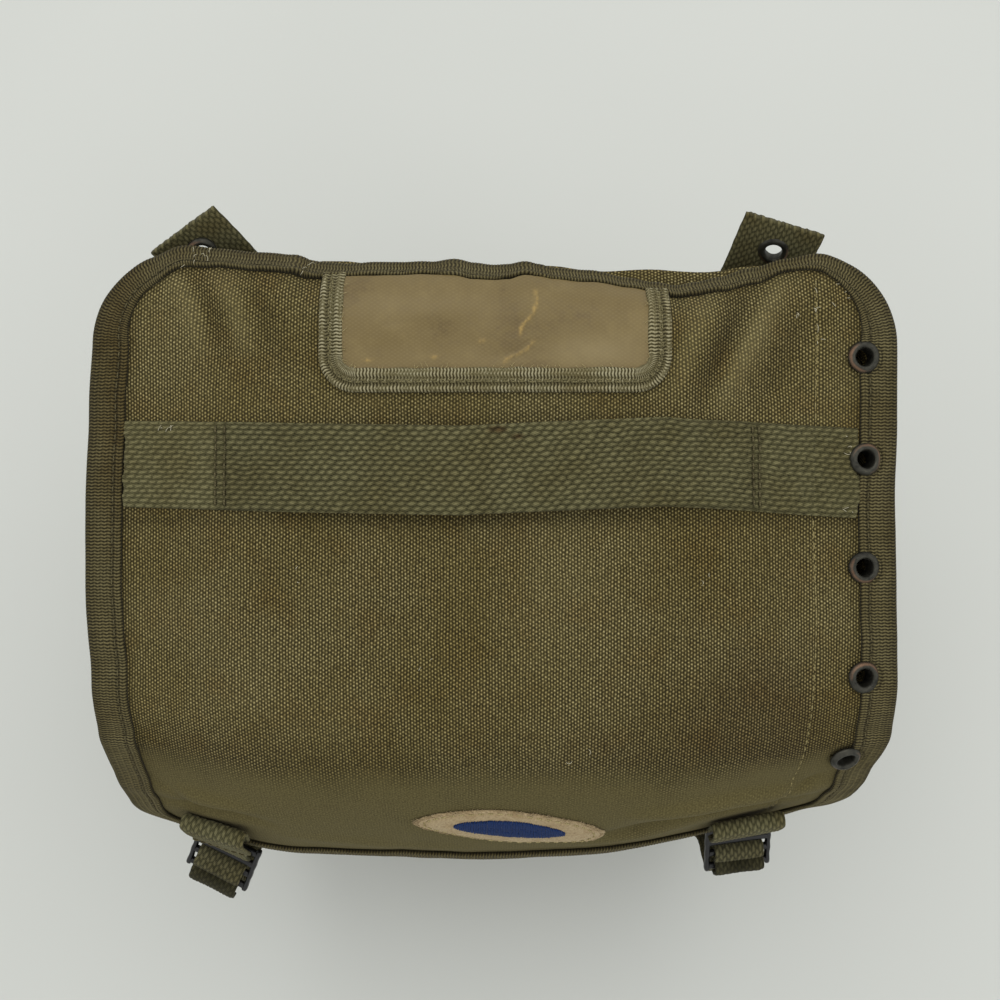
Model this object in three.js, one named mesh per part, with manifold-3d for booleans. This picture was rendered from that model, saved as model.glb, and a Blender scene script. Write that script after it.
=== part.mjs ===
// A soft canvas field pack standing on its base: a hollow bag sewn from five
// panels, closed by a bound lid that rolls over the front, with a web carry
// handle, a clear card window, a row of eyelets along one edge, two web tabs
// with eyelets at the back corners and two buckled straps at the front.
// Millimetres, +Z up. The front faces -Y, the back +Y, and the origin is on
// the floor under the middle of the pack.
import * as THREE from "three";
import Module from "manifold-3d";

const wasm = await Module();
wasm.setup();

// ---------------------------------------------------------------- sizes
const CANVAS_T = 2.0;            // folded duck canvas of lid and bag walls
const TAPE_T = 1.0;              // binding tape
const WEB_T = 1.6;               // strap and tab webbing
const FIT = 0.5;                 // room between sewn pieces that follow one curve
const LID_LENGTH = 218;          // flat length of the lid, back edge to hem
const LID_REAR_RADIUS = 28;      // corner radii of the lid's outline
const LID_FRONT_RADIUS = 26;
const LID_CROWN = 2.0;           // how far the lid's middle stands above its sides
const LID_ANCHOR = { s: 75, y: 17.5, z: 212 };   // a point of the lid's middle line
const BINDING_W = 10.5;          // tape showing on each face of the lid
const HANDLE = { s0: 53, s1: 79, end_left: 109.2, end_right: 109.0, free: 84, lift: 5.0, t: 1.8 };
const WINDOW = { left: -51, right: 53, bottom: 43.5, tape: 7.2, radius: 11, pane_t: 1.0, tape_t: 2.0 };
const PATCH = { u: 5.5, s: 186, half_u: 31, half_s: 14, t: 1.2 };
const EYELET = { bore: 2.65, barrel: 3.15, flange: 4.85, washer: 4.6 };
const STRAP_W = 17.5;            // closing straps
const LOOP_W = 17.4;             // one inch web gathered where it passes round a buckle's top bar
const TAB_W = 25.4;              // one inch tabs
// Buckle with four bars: the web's loop is on the first, the strap goes over the third.
const BUCKLE = { inner: 9.9, rail: 2.0, bar_r: 1.25, bars: [0, 5.2, 9.9, 15.6], rail_t: 2.4, tilt_deg: 42 };

// Middle line of the lid, as the direction of travel from back edge to hem:
// level is 0, straight down is -90.
const LID_PROFILE = [
  { s: 0, dir: -13 }, { s: 40, dir: -15 }, { s: 100, dir: -17 }, { s: 131, dir: -20 },
  { s: 149, dir: -37 }, { s: 169, dir: -60 }, { s: 187, dir: -71 }, { s: 207, dir: -80 },
  { s: 222, dir: -84 },
];
// Half widths of the lid, how far its two side edges hang below its middle, and
// how far out from the middle the hanging begins.
const LID_SECTIONS = [
  { s: 0, half_left: 117.4, half_right: 119.4, hang_left: 3.0, hang_right: 3.0, from_left: 62, from_right: 62 },
  { s: 22, half_left: 118.7, half_right: 120.4, hang_left: 4.6, hang_right: 4.6, from_left: 62, from_right: 62 },
  { s: 50, half_left: 120.4, half_right: 120.7, hang_left: 7.0, hang_right: 7.0, from_left: 62, from_right: 62 },
  { s: 75, half_left: 121.4, half_right: 120.2, hang_left: 8.0, hang_right: 8.0, from_left: 62, from_right: 62 },
  { s: 100, half_left: 121.6, half_right: 120.8, hang_left: 9.2, hang_right: 9.2, from_left: 62, from_right: 62 },
  { s: 131, half_left: 120.0, half_right: 121.5, hang_left: 10.0, hang_right: 10.0, from_left: 62, from_right: 62 },
  { s: 150, half_left: 119.2, half_right: 121.0, hang_left: 10.6, hang_right: 10.6, from_left: 62, from_right: 58 },
  { s: 175, half_left: 118.0, half_right: 118.4, hang_left: 11.0, hang_right: 12.0, from_left: 62, from_right: 48 },
  { s: 222, half_left: 115.0, half_right: 113.0, hang_left: 9.5, hang_right: 13.5, from_left: 62, from_right: 25 },
];
// The back edge rolls down over the back panel, and is drawn in where the panel shows;
// tape is the width of binding that shows above.
const REAR_ROLL = { depth: 11.0, reach: 18, flat_from: 55, flat_over: 50, keep: 0.5 };
const REAR_EDGE = [
  { u: -102, drawn_in: 0, tape: 6.8 }, { u: -94, drawn_in: -1.8, tape: 6.2 }, { u: -84, drawn_in: -0.8, tape: 5.8 },
  { u: -72, drawn_in: 0.3, tape: 5.9 }, { u: -61, drawn_in: 1.1, tape: 6.3 }, { u: -56, drawn_in: 2.9, tape: 5.9 },
  { u: -44, drawn_in: 3.9, tape: 4.4 }, { u: -36, drawn_in: 3.4, tape: 4.8 }, { u: -19, drawn_in: 3.2, tape: 4.6 },
  { u: -12, drawn_in: 2.0, tape: 6.2 }, { u: -6, drawn_in: 3.4, tape: 6.0 }, { u: 0.5, drawn_in: 4.0, tape: 5.6 },
  { u: 5, drawn_in: 3.8, tape: 5.4 }, { u: 10, drawn_in: 3.0, tape: 5.0 }, { u: 14, drawn_in: 3.8, tape: 4.6 },
  { u: 18, drawn_in: 4.8, tape: 4.2 }, { u: 30, drawn_in: 5.9, tape: 4.1 }, { u: 41, drawn_in: 8.0, tape: 3.6 },
  { u: 49, drawn_in: 9.3, tape: 3.5 }, { u: 56, drawn_in: 10.5, tape: 3.6 }, { u: 62, drawn_in: 9.5, tape: 4.0 },
  { u: 69, drawn_in: 8.2, tape: 4.1 }, { u: 79, drawn_in: 5.2, tape: 4.4 }, { u: 90, drawn_in: 2.4, tape: 3.8 },
  { u: 102, drawn_in: 0, tape: 3.8 },
];
// Soft folds: centre, length and width of each ridge (+) or dent (-) and its bearing.
const LID_FOLDS = [
  { u: 74, s: 34, along: 26, across: 9, bearing: 112, height: -2.2 },
  { u: 62, s: 38, along: 24, across: 8, bearing: 112, height: 1.4 },
  { u: -78, s: 26, along: 16, across: 9, bearing: 70, height: -1.6 },
  { u: 20, s: 112, along: 60, across: 26, bearing: 10, height: 1.6 },
  { u: -92, s: 186, along: 18, across: 8, bearing: -18, height: 1.6 },
  { u: 84, s: 182, along: 26, across: 7, bearing: 12, height: 1.6 },
  { u: -6, s: 218, along: 32, across: 36, bearing: 0, height: 1.3 },
];
const EYELETS = [
  { s: 31.8, u: 111.0 }, { s: 62.4, u: 111.2 }, { s: 95.0, u: 111.2 },
  { s: 128.6, u: 111.4 }, { s: 161.6, u: 108.4 },
];
// Horizontal sections of the bag.
const BAG_SECTIONS = [
  { z: 2.8, half: 94, front: -54, back: 75, radius: 26, bow_front: 2, bow_back: 1, bow_side: 1 },
  { z: 10, half: 99.5, front: -59, back: 82, radius: 28, bow_front: 3, bow_back: 1.5, bow_side: 2 },
  { z: 30, half: 103, front: -64, back: 86.5, radius: 30, bow_front: 5, bow_back: 2.5, bow_side: 3 },
  { z: 80, half: 105.5, front: -67, back: 89, radius: 32, bow_front: 8, bow_back: 3, bow_side: 4 },
  { z: 115, half: 105.5, front: -66, back: 89, radius: 33.5, bow_front: 8, bow_back: 3, bow_side: 4.5 },
  { z: 140, half: 106, front: -61.5, back: 89.5, radius: 34, bow_front: 8, bow_back: 2.8, bow_side: 5 },
  { z: 160, half: 109.5, front: -57, back: 90, radius: 31, bow_front: 8, bow_back: 2.8, bow_side: 5 },
  { z: 185, half: 111, front: -49, back: 90.5, radius: 29, bow_front: 6, bow_back: 3.0, bow_side: 5.5 },
  { z: 222, half: 112, front: -38, back: 91.5, radius: 27, bow_front: 4, bow_back: 3.5, bow_side: 5.5 },
];
const BAG_BASE_T = 2.3;
const BAG_RIM_ROOM = { front: 9.5, back: 4.2 };   // from the lid's middle surface down to the mouth
// How the mouth rises (+) or dips (-) along the back panel.
const BACK_RIM = [
  { x: -58, up: 0 }, { x: -52, up: 1.8 }, { x: -46, up: 1.4 }, { x: -34, up: -1.6 }, { x: 18, up: -2.0 },
  { x: 32, up: -4.4 }, { x: 52, up: -1.6 }, { x: 68, up: -3.2 }, { x: 82, up: 0 },
];
const BAG_LEVELS = [0, 0.035, 0.12, 0.26, 0.42, 0.56, 0.68, 0.79, 0.9, 1];
const SEAM_GAP = 0.4;
// Closing straps: place across the lid, turns, the rolled end's place above the hem and its
// under layer's height off the lid's middle, and the tail.
const STRAPS = [
  { side: "left", u: -90.5, twist: 2.5, swing: -11, roll: -25, lower: 3.1, tail: 10, tail_dir: -18 },
  { side: "right", u: 85, twist: 2, swing: -4, roll: -21, lower: 3.9, tail: 5.6, tail_dir: -20 },
];
// Back tabs: foot on the back panel, tip above the lid's back edge.
const TABS = [
  { side: "left", lean: -36.3, turn: 29.4, foot_x: -74.6, foot_z: 158, tip_x: -95.7, tip_z: 221.3, y_foot: 93.8, y_top: 102.1, eyelet: 0.31 },
  { side: "right", lean: 28.1, turn: -25.4, foot_x: 83.2, foot_z: 158, tip_x: 90.6, tip_z: 221.0, y_foot: 93.8, y_top: 104.3, eyelet: 0.13 },
];
const TAB_T = 3.0;               // folded double

// ---------------------------------------------------------------- helpers
const rad = THREE.MathUtils.degToRad;
const V = (x, y, z) => new THREE.Vector3(x, y, z);
const soft = (t) => { const c = Math.min(1, Math.max(0, t)); return c * c * (3 - 2 * c); };
function read(table, key, column, at) {
  if (at <= table[0][key]) return table[0][column];
  for (let i = 1; i < table.length; i++) {
    const a = table[i - 1], b = table[i];
    if (at <= b[key]) return a[column] + ((b[column] - a[column]) * (at - a[key])) / (b[key] - a[key]);
  }
  return table[table.length - 1][column];
}
// Like read, but eased between rows so that the curve has no kinks.
function ease(table, key, column, at) {
  if (at <= table[0][key]) return table[0][column];
  for (let i = 1; i < table.length; i++) {
    const a = table[i - 1], b = table[i];
    if (at <= b[key]) return a[column] + (b[column] - a[column]) * soft((at - a[key]) / (b[key] - a[key]));
  }
  return table[table.length - 1][column];
}
class Solid {
  constructor() { this.points = []; this.faces = []; }
  point(v) { this.points.push(v); return this.points.length - 1; }
  quad(a, b, c, d) { this.faces.push([a, b, c], [a, c, d]); }
  tri(a, b, c) { this.faces.push([a, b, c]); }
  // Turns the faces outwards, whichever way the rows ran.
  outward() {
    let six = 0;
    for (const [a, b, c] of this.faces)
      six += this.points[a].dot(V().crossVectors(this.points[b], this.points[c]));
    if (six < 0) this.faces = this.faces.map(([a, b, c]) => [a, c, b]);
    return this;
  }
  manifold() {
    this.outward();
    const mesh = new wasm.Mesh({
      numProp: 3,
      vertProperties: new Float32Array(this.points.flatMap((p) => [p.x, p.y, p.z])),
      triVerts: new Uint32Array(this.faces.flat()),
    });
    return new wasm.Manifold(mesh);
  }
  geometry() {
    this.outward();
    const g = new THREE.BufferGeometry();
    g.setAttribute("position", new THREE.Float32BufferAttribute(this.points.flatMap((p) => [p.x, p.y, p.z]), 3));
    g.setIndex(this.faces.flat());
    g.computeVertexNormals();
    return g;
  }
}
function geometryOf(manifold) {
  const m = manifold.getMesh();
  const g = new THREE.BufferGeometry();
  const n = m.vertProperties.length / m.numProp;
  const position = new Float32Array(n * 3);
  for (let i = 0; i < n; i++) for (let k = 0; k < 3; k++) position[3 * i + k] = m.vertProperties[i * m.numProp + k];
  g.setAttribute("position", new THREE.BufferAttribute(position, 3));
  g.setIndex(Array.from(m.triVerts));
  g.computeVertexNormals();
  return g;
}
// A closed wall between two grids of points, rows by columns.
function wall(rows, cols, outer, inner) {
  const solid = new Solid();
  const grid = (f) => Array.from({ length: rows }, (_, i) => Array.from({ length: cols }, (_, j) => solid.point(f(i, j))));
  const o = grid(outer), n = grid(inner);
  for (let i = 0; i + 1 < rows; i++)
    for (let j = 0; j + 1 < cols; j++) {
      solid.quad(o[i][j], o[i][j + 1], o[i + 1][j + 1], o[i + 1][j]);
      solid.quad(n[i][j], n[i + 1][j], n[i + 1][j + 1], n[i][j + 1]);
    }
  for (let j = 0; j + 1 < cols; j++) {
    solid.quad(o[0][j], n[0][j], n[0][j + 1], o[0][j + 1]);
    solid.quad(o[rows - 1][j], o[rows - 1][j + 1], n[rows - 1][j + 1], n[rows - 1][j]);
  }
  for (let i = 0; i + 1 < rows; i++) {
    solid.quad(o[i][0], o[i + 1][0], n[i + 1][0], n[i][0]);
    solid.quad(o[i][cols - 1], n[i][cols - 1], n[i + 1][cols - 1], o[i + 1][cols - 1]);
  }
  return solid;
}
// Rings of equal length joined in order. Open runs get flat ends.
function loft(rings, loop = false) {
  const solid = new Solid();
  const ids = rings.map((ring) => ring.map((p) => solid.point(p)));
  const m = rings[0].length, last = loop ? rings.length : rings.length - 1;
  for (let i = 0; i < last; i++) {
    const a = ids[i], b = ids[(i + 1) % rings.length];
    for (let j = 0; j < m; j++) solid.quad(a[j], a[(j + 1) % m], b[(j + 1) % m], b[j]);
  }
  if (!loop)
    for (const [ring, turned] of [[ids[0], true], [ids[ids.length - 1], false]])
      for (let j = 1; j + 1 < m; j++) turned ? solid.tri(ring[0], ring[j + 1], ring[j]) : solid.tri(ring[0], ring[j], ring[j + 1]);
  return solid;
}
// A flat strap along a run of stations, each with its middle, its two edges' direction and its face.
function strap(stations, thickness) {
  return loft(stations.map(({ at, side, face, width }) => {
    const x = side.clone().multiplyScalar(width / 2), n = face.clone().multiplyScalar(thickness / 2);
    return [
      at.clone().sub(x).sub(n), at.clone().add(x).sub(n),
      at.clone().add(x).add(n), at.clone().sub(x).add(n),
    ];
  }));
}
function cylinder(centre, axis, radius, half) {
  const up = Math.abs(axis.z) < 0.9 ? V(0, 0, 1) : V(1, 0, 0);
  const a = V().crossVectors(up, axis).normalize(), b = V().crossVectors(axis, a);
  return loft([-half, half].map((h) => Array.from({ length: 16 }, (_, k) => {
    const t = (k / 16) * Math.PI * 2;
    return centre.clone().addScaledVector(axis, h).addScaledVector(a, radius * Math.cos(t)).addScaledVector(b, radius * Math.sin(t));
  })));
}
const pack = new THREE.Group();
const OVER_ORIGIN = { x: 0.02, y: -6.73 };   // moves the pack so that it stands over the origin
function add(name, geometry, color, roughness, metalness = 0) {
  geometry.translate(OVER_ORIGIN.x, OVER_ORIGIN.y, 0);
  const mesh = new THREE.Mesh(geometry, new THREE.MeshStandardMaterial({ color, roughness, metalness }));
  mesh.name = name;
  pack.add(mesh);
}
const CANVAS = 0x5c5335, TAPE = 0x4e4a34, WEB = 0x50503a, DARK = 0x2b2b2c, BRASS = 0x4a483f, VINYL = 0x8a7650, FELT = 0xb39d78;

// ---------------------------------------------------------------- lid surface
const MIDDLE = [];
{
  const step = 0.5;
  let y = 0, z = 0;
  for (let s = -10; s <= 262; s += step) {
    MIDDLE.push({ s, y, z });
    const dir = rad(read(LID_PROFILE, "s", "dir", s + step / 2));
    y -= Math.cos(dir) * step;
    z += Math.sin(dir) * step;
  }
  const dy = LID_ANCHOR.y - read(MIDDLE, "s", "y", LID_ANCHOR.s), dz = LID_ANCHOR.z - read(MIDDLE, "s", "z", LID_ANCHOR.s);
  for (const m of MIDDLE) { m.y += dy; m.z += dz; }
}
const middle = (s, column) => {
  const at = Math.min(MIDDLE.length - 1.001, Math.max(0, (s - MIDDLE[0].s) / 0.5)), i = Math.floor(at);
  return MIDDLE[i][column] + (MIDDLE[i + 1][column] - MIDDLE[i][column]) * (at - i);
};
const drawnIn = (u) => ease(REAR_EDGE, "u", "drawn_in", u), backTape = (u) => ease(REAR_EDGE, "u", "tape", u);
const halfWidth = (s, right) => ease(LID_SECTIONS, "s", right ? "half_right" : "half_left", s);
function sunk(u, s) {
  const a = Math.abs(u);
  const from = ease(LID_SECTIONS, "s", u < 0 ? "from_left" : "from_right", s);
  const hang = ease(LID_SECTIONS, "s", u < 0 ? "hang_left" : "hang_right", s) * soft((a - from) / (122 - from));
  const roll = REAR_ROLL.depth * Math.max(0, (REAR_ROLL.reach + drawnIn(u) - s) / REAR_ROLL.reach) ** 2
    * (1 - REAR_ROLL.keep * soft((a - REAR_ROLL.flat_from) / REAR_ROLL.flat_over));
  let folds = 0;
  for (const f of LID_FOLDS) {
    const c = Math.cos(rad(f.bearing)), d = Math.sin(rad(f.bearing));
    const l = ((u - f.u) * c + (s - f.s) * d) / f.along, w = ((s - f.s) * c - (u - f.u) * d) / f.across;
    folds += f.height * Math.exp(-l * l - w * w);
  }
  return hang + LID_CROWN * (u / 122) ** 2 + roll - folds;
}
function lidMiddle(u, s) {
  const dir = rad(read(LID_PROFILE, "s", "dir", s)), off = sunk(u, s);
  return V(u, middle(s, "y") - Math.sin(dir) * off, middle(s, "z") - Math.cos(dir) * off);
}
function lidNormal(u, s) {
  const du = lidMiddle(u + 0.5, s).sub(lidMiddle(u - 0.5, s)), ds = lidMiddle(u, s + 0.5).sub(lidMiddle(u, s - 0.5));
  return V().crossVectors(ds, du).normalize();
}
// A point h above the lid's middle surface, at flat place (u, s).
const onLid = (u, s, h) => lidMiddle(u, s).addScaledVector(lidNormal(u, s), h);

// Flat outline of the lid, with the direction inwards and the width of tape at each station.
function outline() {
  const list = [], r = LID_REAR_RADIUS, q = LID_FRONT_RADIUS, end = LID_LENGTH;
  const back = 30, sides = 13, hem = 14, turn = 5;
  const corner = (cu, cs, radius, from, tapeFrom, tapeTo) => {
    for (let k = 0; k <= turn; k++) {
      const t = rad(from + (90 * k) / turn), x = Math.cos(t), y = Math.sin(t), u = cu + radius * x;
      const draw = drawnIn(u) * Math.max(0, -y);   // the back corners start from the drawn-in edge
      list.push({ u, s: cs + radius * y + (cs < 60 ? draw : 0), nu: -x, ns: -y, tape: tapeFrom + ((tapeTo - tapeFrom) * k) / turn });
    }
  };
  const backL = -(halfWidth(r, false) - r), backR = halfWidth(r, true) - r;
  const hemL = -(halfWidth(end - q, false) - q), hemR = halfWidth(end - q, true) - q;
  for (let k = 1; k < back; k++) {
    const u = backL + ((backR - backL) * k) / back;
    list.push({ u, s: drawnIn(u), nu: 0, ns: 1, tape: backTape(u) });
  }
  corner(backR, r, r, -90, backTape(backR), BINDING_W);
  for (let k = 1; k < sides; k++) {
    const s = r + ((end - q - r) * k) / sides;
    list.push({ u: halfWidth(s, true), s, nu: -1, ns: 0, tape: BINDING_W });
  }
  corner(hemR, end - q, q, 0, BINDING_W, BINDING_W);
  for (let k = 1; k < hem; k++) list.push({ u: hemR + ((hemL - hemR) * k) / hem, s: end, nu: 0, ns: -1, tape: BINDING_W });
  corner(hemL, end - q, q, 90, BINDING_W, BINDING_W);
  for (let k = sides - 1; k >= 1; k--) {
    const s = r + ((end - q - r) * k) / sides;
    list.push({ u: -halfWidth(s, false), s, nu: 1, ns: 0, tape: BINDING_W });
  }
  corner(backL, r, r, 180, BINDING_W, backTape(backL));
  return list;
}
// Half width of the cloth with its rounded corners, and the flat place of a lid grid point.
function clothHalf(s, right) {
  const r = LID_REAR_RADIUS, q = LID_FRONT_RADIUS, end = LID_LENGTH;
  if (s < r) return halfWidth(r, right) - r + Math.sqrt(Math.max(0, r * r - (r - s) ** 2));
  if (s > end - q) return halfWidth(end - q, right) - q + Math.sqrt(Math.max(0, q * q - (s - end + q) ** 2));
  return halfWidth(s, right);
}
const LID_ROWS = [0, 2.5, 6, 11, 17, 25, 36, 50, 66, 82, 98, 114, 126, 134, 141, 148, 155, 162, 169, 176, 184, 192, 200, 207, 213, 216.5, LID_LENGTH];
const LID_COLS = 25;
const EDGE_ROOM = { back: 3.0, side: 1.0, hem: 1.0 };   // cloth edge inside the fold of its binding
function lidPlace(i, j) {
  const s = LID_ROWS[i], a = (2 * j) / (LID_COLS - 1) - 1;
  const u = a * (clothHalf(s, a > 0) - EDGE_ROOM.side);
  const back = EDGE_ROOM.back + drawnIn(u) * Math.max(0, 1 - s / 60);
  return { u, s: s + back * (1 - s / LID_LENGTH) - EDGE_ROOM.hem * (s / LID_LENGTH) };
}
const lidFace = (h) => (i, j) => { const { u, s } = lidPlace(i, j); return onLid(u, s, h); };
let lid = wall(LID_ROWS.length, LID_COLS, lidFace(CANVAS_T / 2), lidFace(-CANVAS_T / 2)).manifold();

// Binding tape folded over the edge of the lid.
const tapeIn = CANVAS_T / 2 + 1.45 * FIT, tapeOut = tapeIn + TAPE_T;
const BINDING_SECTION = [
  { share: 1, inward: 0, up: tapeOut }, { share: 0.5, inward: 0, up: tapeOut }, { share: 0, inward: -0.4, up: tapeOut },
  { share: 0, inward: -1.6, up: tapeOut - 1.0 }, { share: 0, inward: -1.6, up: 1.0 - tapeOut },
  { share: 0, inward: -0.4, up: -tapeOut }, { share: 0.5, inward: 0, up: -tapeOut }, { share: 1, inward: 0, up: -tapeOut },
  { share: 1, inward: 0, up: -tapeIn }, { share: 0.5, inward: 0, up: -tapeIn }, { share: 0, inward: -0.4, up: -tapeIn },
  { share: 0, inward: -0.4, up: tapeIn }, { share: 0.5, inward: 0, up: tapeIn }, { share: 1, inward: 0, up: tapeIn },
];
let binding = loft(outline().map((st) => BINDING_SECTION.map(({ share, inward, up }) => {
  const d = share * st.tape + inward;
  return onLid(st.u + st.nu * d, st.s + st.ns * d, up);
})), true).manifold();

// Carry handle: its ends sewn down, its middle standing a little off the lid.
const handleLow = CANVAS_T / 2 + FIT;
function handleUp(u) {
  const t = Math.abs(u) / HANDLE.free;
  return t < 1 ? HANDLE.lift * (1 - t * t) ** 1.5 : 0;
}
const HANDLE_COLS = 31;
const handlePoint = (h) => (i, j) => {
  const u = -HANDLE.end_left + ((HANDLE.end_left + HANDLE.end_right) * j) / (HANDLE_COLS - 1);
  return onLid(u, HANDLE.s0 + ((HANDLE.s1 - HANDLE.s0) * i) / 3, handleLow + h + handleUp(u));
};
let handle = wall(4, HANDLE_COLS, handlePoint(HANDLE.t), handlePoint(0)).manifold();

// Eyelets: a rolled rim above, a barrel through the cloth and a washer below.
const EYELET_PROFILE = [
  { r: EYELET.bore, h: -2.6 }, { r: EYELET.washer, h: -2.6 }, { r: EYELET.washer, h: -1.8 }, { r: EYELET.barrel, h: -1.8 },
  { r: EYELET.barrel, h: 1.8 }, { r: EYELET.flange, h: 1.8 }, { r: EYELET.flange, h: 2.4 }, { r: 3.7, h: 3.3 },
  { r: EYELET.bore, h: 2.6 },
];
const EYELET_SIDES = 12;
function eyelet(centre, axis) {
  const around = EYELET_SIDES, a = V().crossVectors(V(1, 0, 0), axis).normalize(), b = V().crossVectors(axis, a);
  return loft(Array.from({ length: around }, (_, k) => {
    const t = (k / around) * Math.PI * 2, out = a.clone().multiplyScalar(Math.cos(t)).addScaledVector(b, Math.sin(t));
    return EYELET_PROFILE.map(({ r, h }) => centre.clone().addScaledVector(out, r).addScaledVector(axis, h));
  }), true).geometry();
}
EYELETS.forEach(({ u, s }, k) => {
  const centre = onLid(u, s, 0), axis = lidNormal(u, s);
  lid = lid.subtract(cylinder(centre, axis, EYELET.barrel + 0.4, 6).manifold());
  const clear = cylinder(centre, axis, EYELET.flange + 0.5, 7).manifold();
  binding = binding.subtract(clear);
  handle = handle.subtract(clear);
  add(`eyelet_${k + 1}`, eyelet(centre, axis), BRASS, 0.45, 0.9);
});
add("lid", geometryOf(lid), CANVAS, 0.95);
add("lid_binding", geometryOf(binding), TAPE, 0.9);
add("carry_handle", geometryOf(handle), WEB, 0.9);

// Card window: a clear sheet held by a U of tape, its top under the lid's back binding.
const paneLow = CANVAS_T / 2 + 1.2 * FIT;
const windowTop = (u) => drawnIn(u) + backTape(u) + 1.0;
{
  const w = WINDOW, paneL = w.left + w.tape + 0.4, paneR = w.right - w.tape - 0.4, paneB = w.bottom - w.tape - 0.4;
  const rows = 5, cols = 14;
  const at = (h) => (i, j) => {
    const u = paneL + ((paneR - paneL) * j) / (cols - 1), top = windowTop(u);
    const corner = Math.max(0, 1 - Math.min(u - paneL, paneR - u) / 4) ** 2 * 3;
    return onLid(u, top + ((paneB - corner - top) * i) / (rows - 1), h);
  };
  add("window_pane", wall(rows, cols, at(paneLow + w.pane_t), at(paneLow)).geometry(), VINYL, 0.35);

  const route = [];
  const r = w.radius;
  for (let k = 0; k <= 3; k++) {
    const top = windowTop(w.left + w.tape / 2);
    route.push({ u: w.left, s: top + ((w.bottom - r - top) * k) / 3, nu: 1, ns: 0 });
  }
  for (let k = 1; k < 5; k++) { const t = rad(180 - 18 * k); route.push({ u: w.left + r + r * Math.cos(t), s: w.bottom - r + r * Math.sin(t), nu: -Math.cos(t), ns: -Math.sin(t) }); }
  for (let k = 0; k <= 9; k++) route.push({ u: w.left + r + ((w.right - w.left - 2 * r) * k) / 9, s: w.bottom, nu: 0, ns: -1 });
  for (let k = 1; k < 5; k++) { const t = rad(90 - 18 * k); route.push({ u: w.right - r + r * Math.cos(t), s: w.bottom - r + r * Math.sin(t), nu: -Math.cos(t), ns: -Math.sin(t) }); }
  for (let k = 3; k >= 0; k--) {
    const top = windowTop(w.right - w.tape / 2);
    route.push({ u: w.right, s: top + ((w.bottom - r - top) * k) / 3, nu: -1, ns: 0 });
  }
  const section = [{ d: 0, h: 0 }, { d: w.tape, h: 0 }, { d: w.tape, h: w.tape_t - 0.4 }, { d: w.tape - 0.6, h: w.tape_t }, { d: 0.6, h: w.tape_t }, { d: 0, h: w.tape_t - 0.4 }];
  add("window_binding", loft(route.map((st) => section.map(({ d, h }) => onLid(st.u + st.nu * d, st.s + st.ns * d, paneLow + h)))).geometry(), TAPE, 0.9);
}

// Sewn-on oval patch on the lid's front.
{
  const rings = 4, around = 28, solid = new Solid();
  const place = (k, j, h) => {
    const t = (j / around) * Math.PI * 2, f = k / rings;
    return onLid(PATCH.u + PATCH.half_u * f * Math.cos(t), PATCH.s + PATCH.half_s * f * Math.sin(t), h);
  };
  const low = CANVAS_T / 2 + FIT, sheets = [low + PATCH.t, low].map((h) => {
    const mid = solid.point(onLid(PATCH.u, PATCH.s, h));
    const ring = [];
    for (let k = 1; k <= rings; k++) ring.push(Array.from({ length: around }, (_, j) => solid.point(place(k, j, h))));
    return { mid, ring };
  });
  sheets.forEach(({ mid, ring }, side) => {
    for (let j = 0; j < around; j++) {
      const n = (j + 1) % around;
      side ? solid.tri(mid, ring[0][n], ring[0][j]) : solid.tri(mid, ring[0][j], ring[0][n]);
      for (let k = 0; k + 1 < rings; k++)
        side ? solid.quad(ring[k][j], ring[k][n], ring[k + 1][n], ring[k + 1][j]) : solid.quad(ring[k][j], ring[k + 1][j], ring[k + 1][n], ring[k][n]);
    }
  });
  const top = sheets[0].ring[rings - 1], low2 = sheets[1].ring[rings - 1];
  for (let j = 0; j < around; j++) { const n = (j + 1) % around; solid.quad(top[j], low2[j], low2[n], top[n]); }
  add("patch", solid.geometry(), FELT, 0.95);
}

// ---------------------------------------------------------------- bag
const bag = (column, z) => ease(BAG_SECTIONS, "z", column, z);
// One point of the bag's section at height z. Side 0 front, 1 right, 2 back, 3 left; t runs along it.
function bagPoint(side, t, z) {
  const a = bag("half", z), f = bag("front", z), b = bag("back", z), r = bag("radius", z);
  const corner = 0.22;                      // share of a side taken by each half corner
  const flip = side === 2 || side === 3;
  const long = side % 2 === 0;
  const h = long ? a : (b - f) / 2, mid = long ? 0 : (b + f) / 2;
  let along, away, lean;
  if (t < corner || t > 1 - corner) {
    const left = t < corner, q = rad(45) * (left ? 1 - t / corner : (t - 1 + corner) / corner);
    along = (left ? -1 : 1) * (h - r + r * Math.sin(q));
    away = r - r * Math.cos(q);
  } else {
    along = (h - r) * (((t - corner) / (1 - 2 * corner)) * 2 - 1);
    away = 0;
  }
  const bow = bag(["bow_front", "bow_side", "bow_back", "bow_side"][side], z) * (1 - Math.min(1, Math.abs(along) / h) ** 2);
  if (side === 0) return V(along, f + away - bow, z);
  if (side === 1) return V(a - away + bow, mid + along, z);
  if (side === 2) return V(-along, b - away + bow, z);
  return V(-a + away - bow, mid - along, z);
}
function bagNormal(side, t, z) {
  const e = 0.01, p = bagPoint(side, Math.max(0, t - e), z), q = bagPoint(side, Math.min(1, t + e), z);
  const d = q.sub(p);
  return V(d.y, -d.x, 0).normalize();
}
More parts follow.
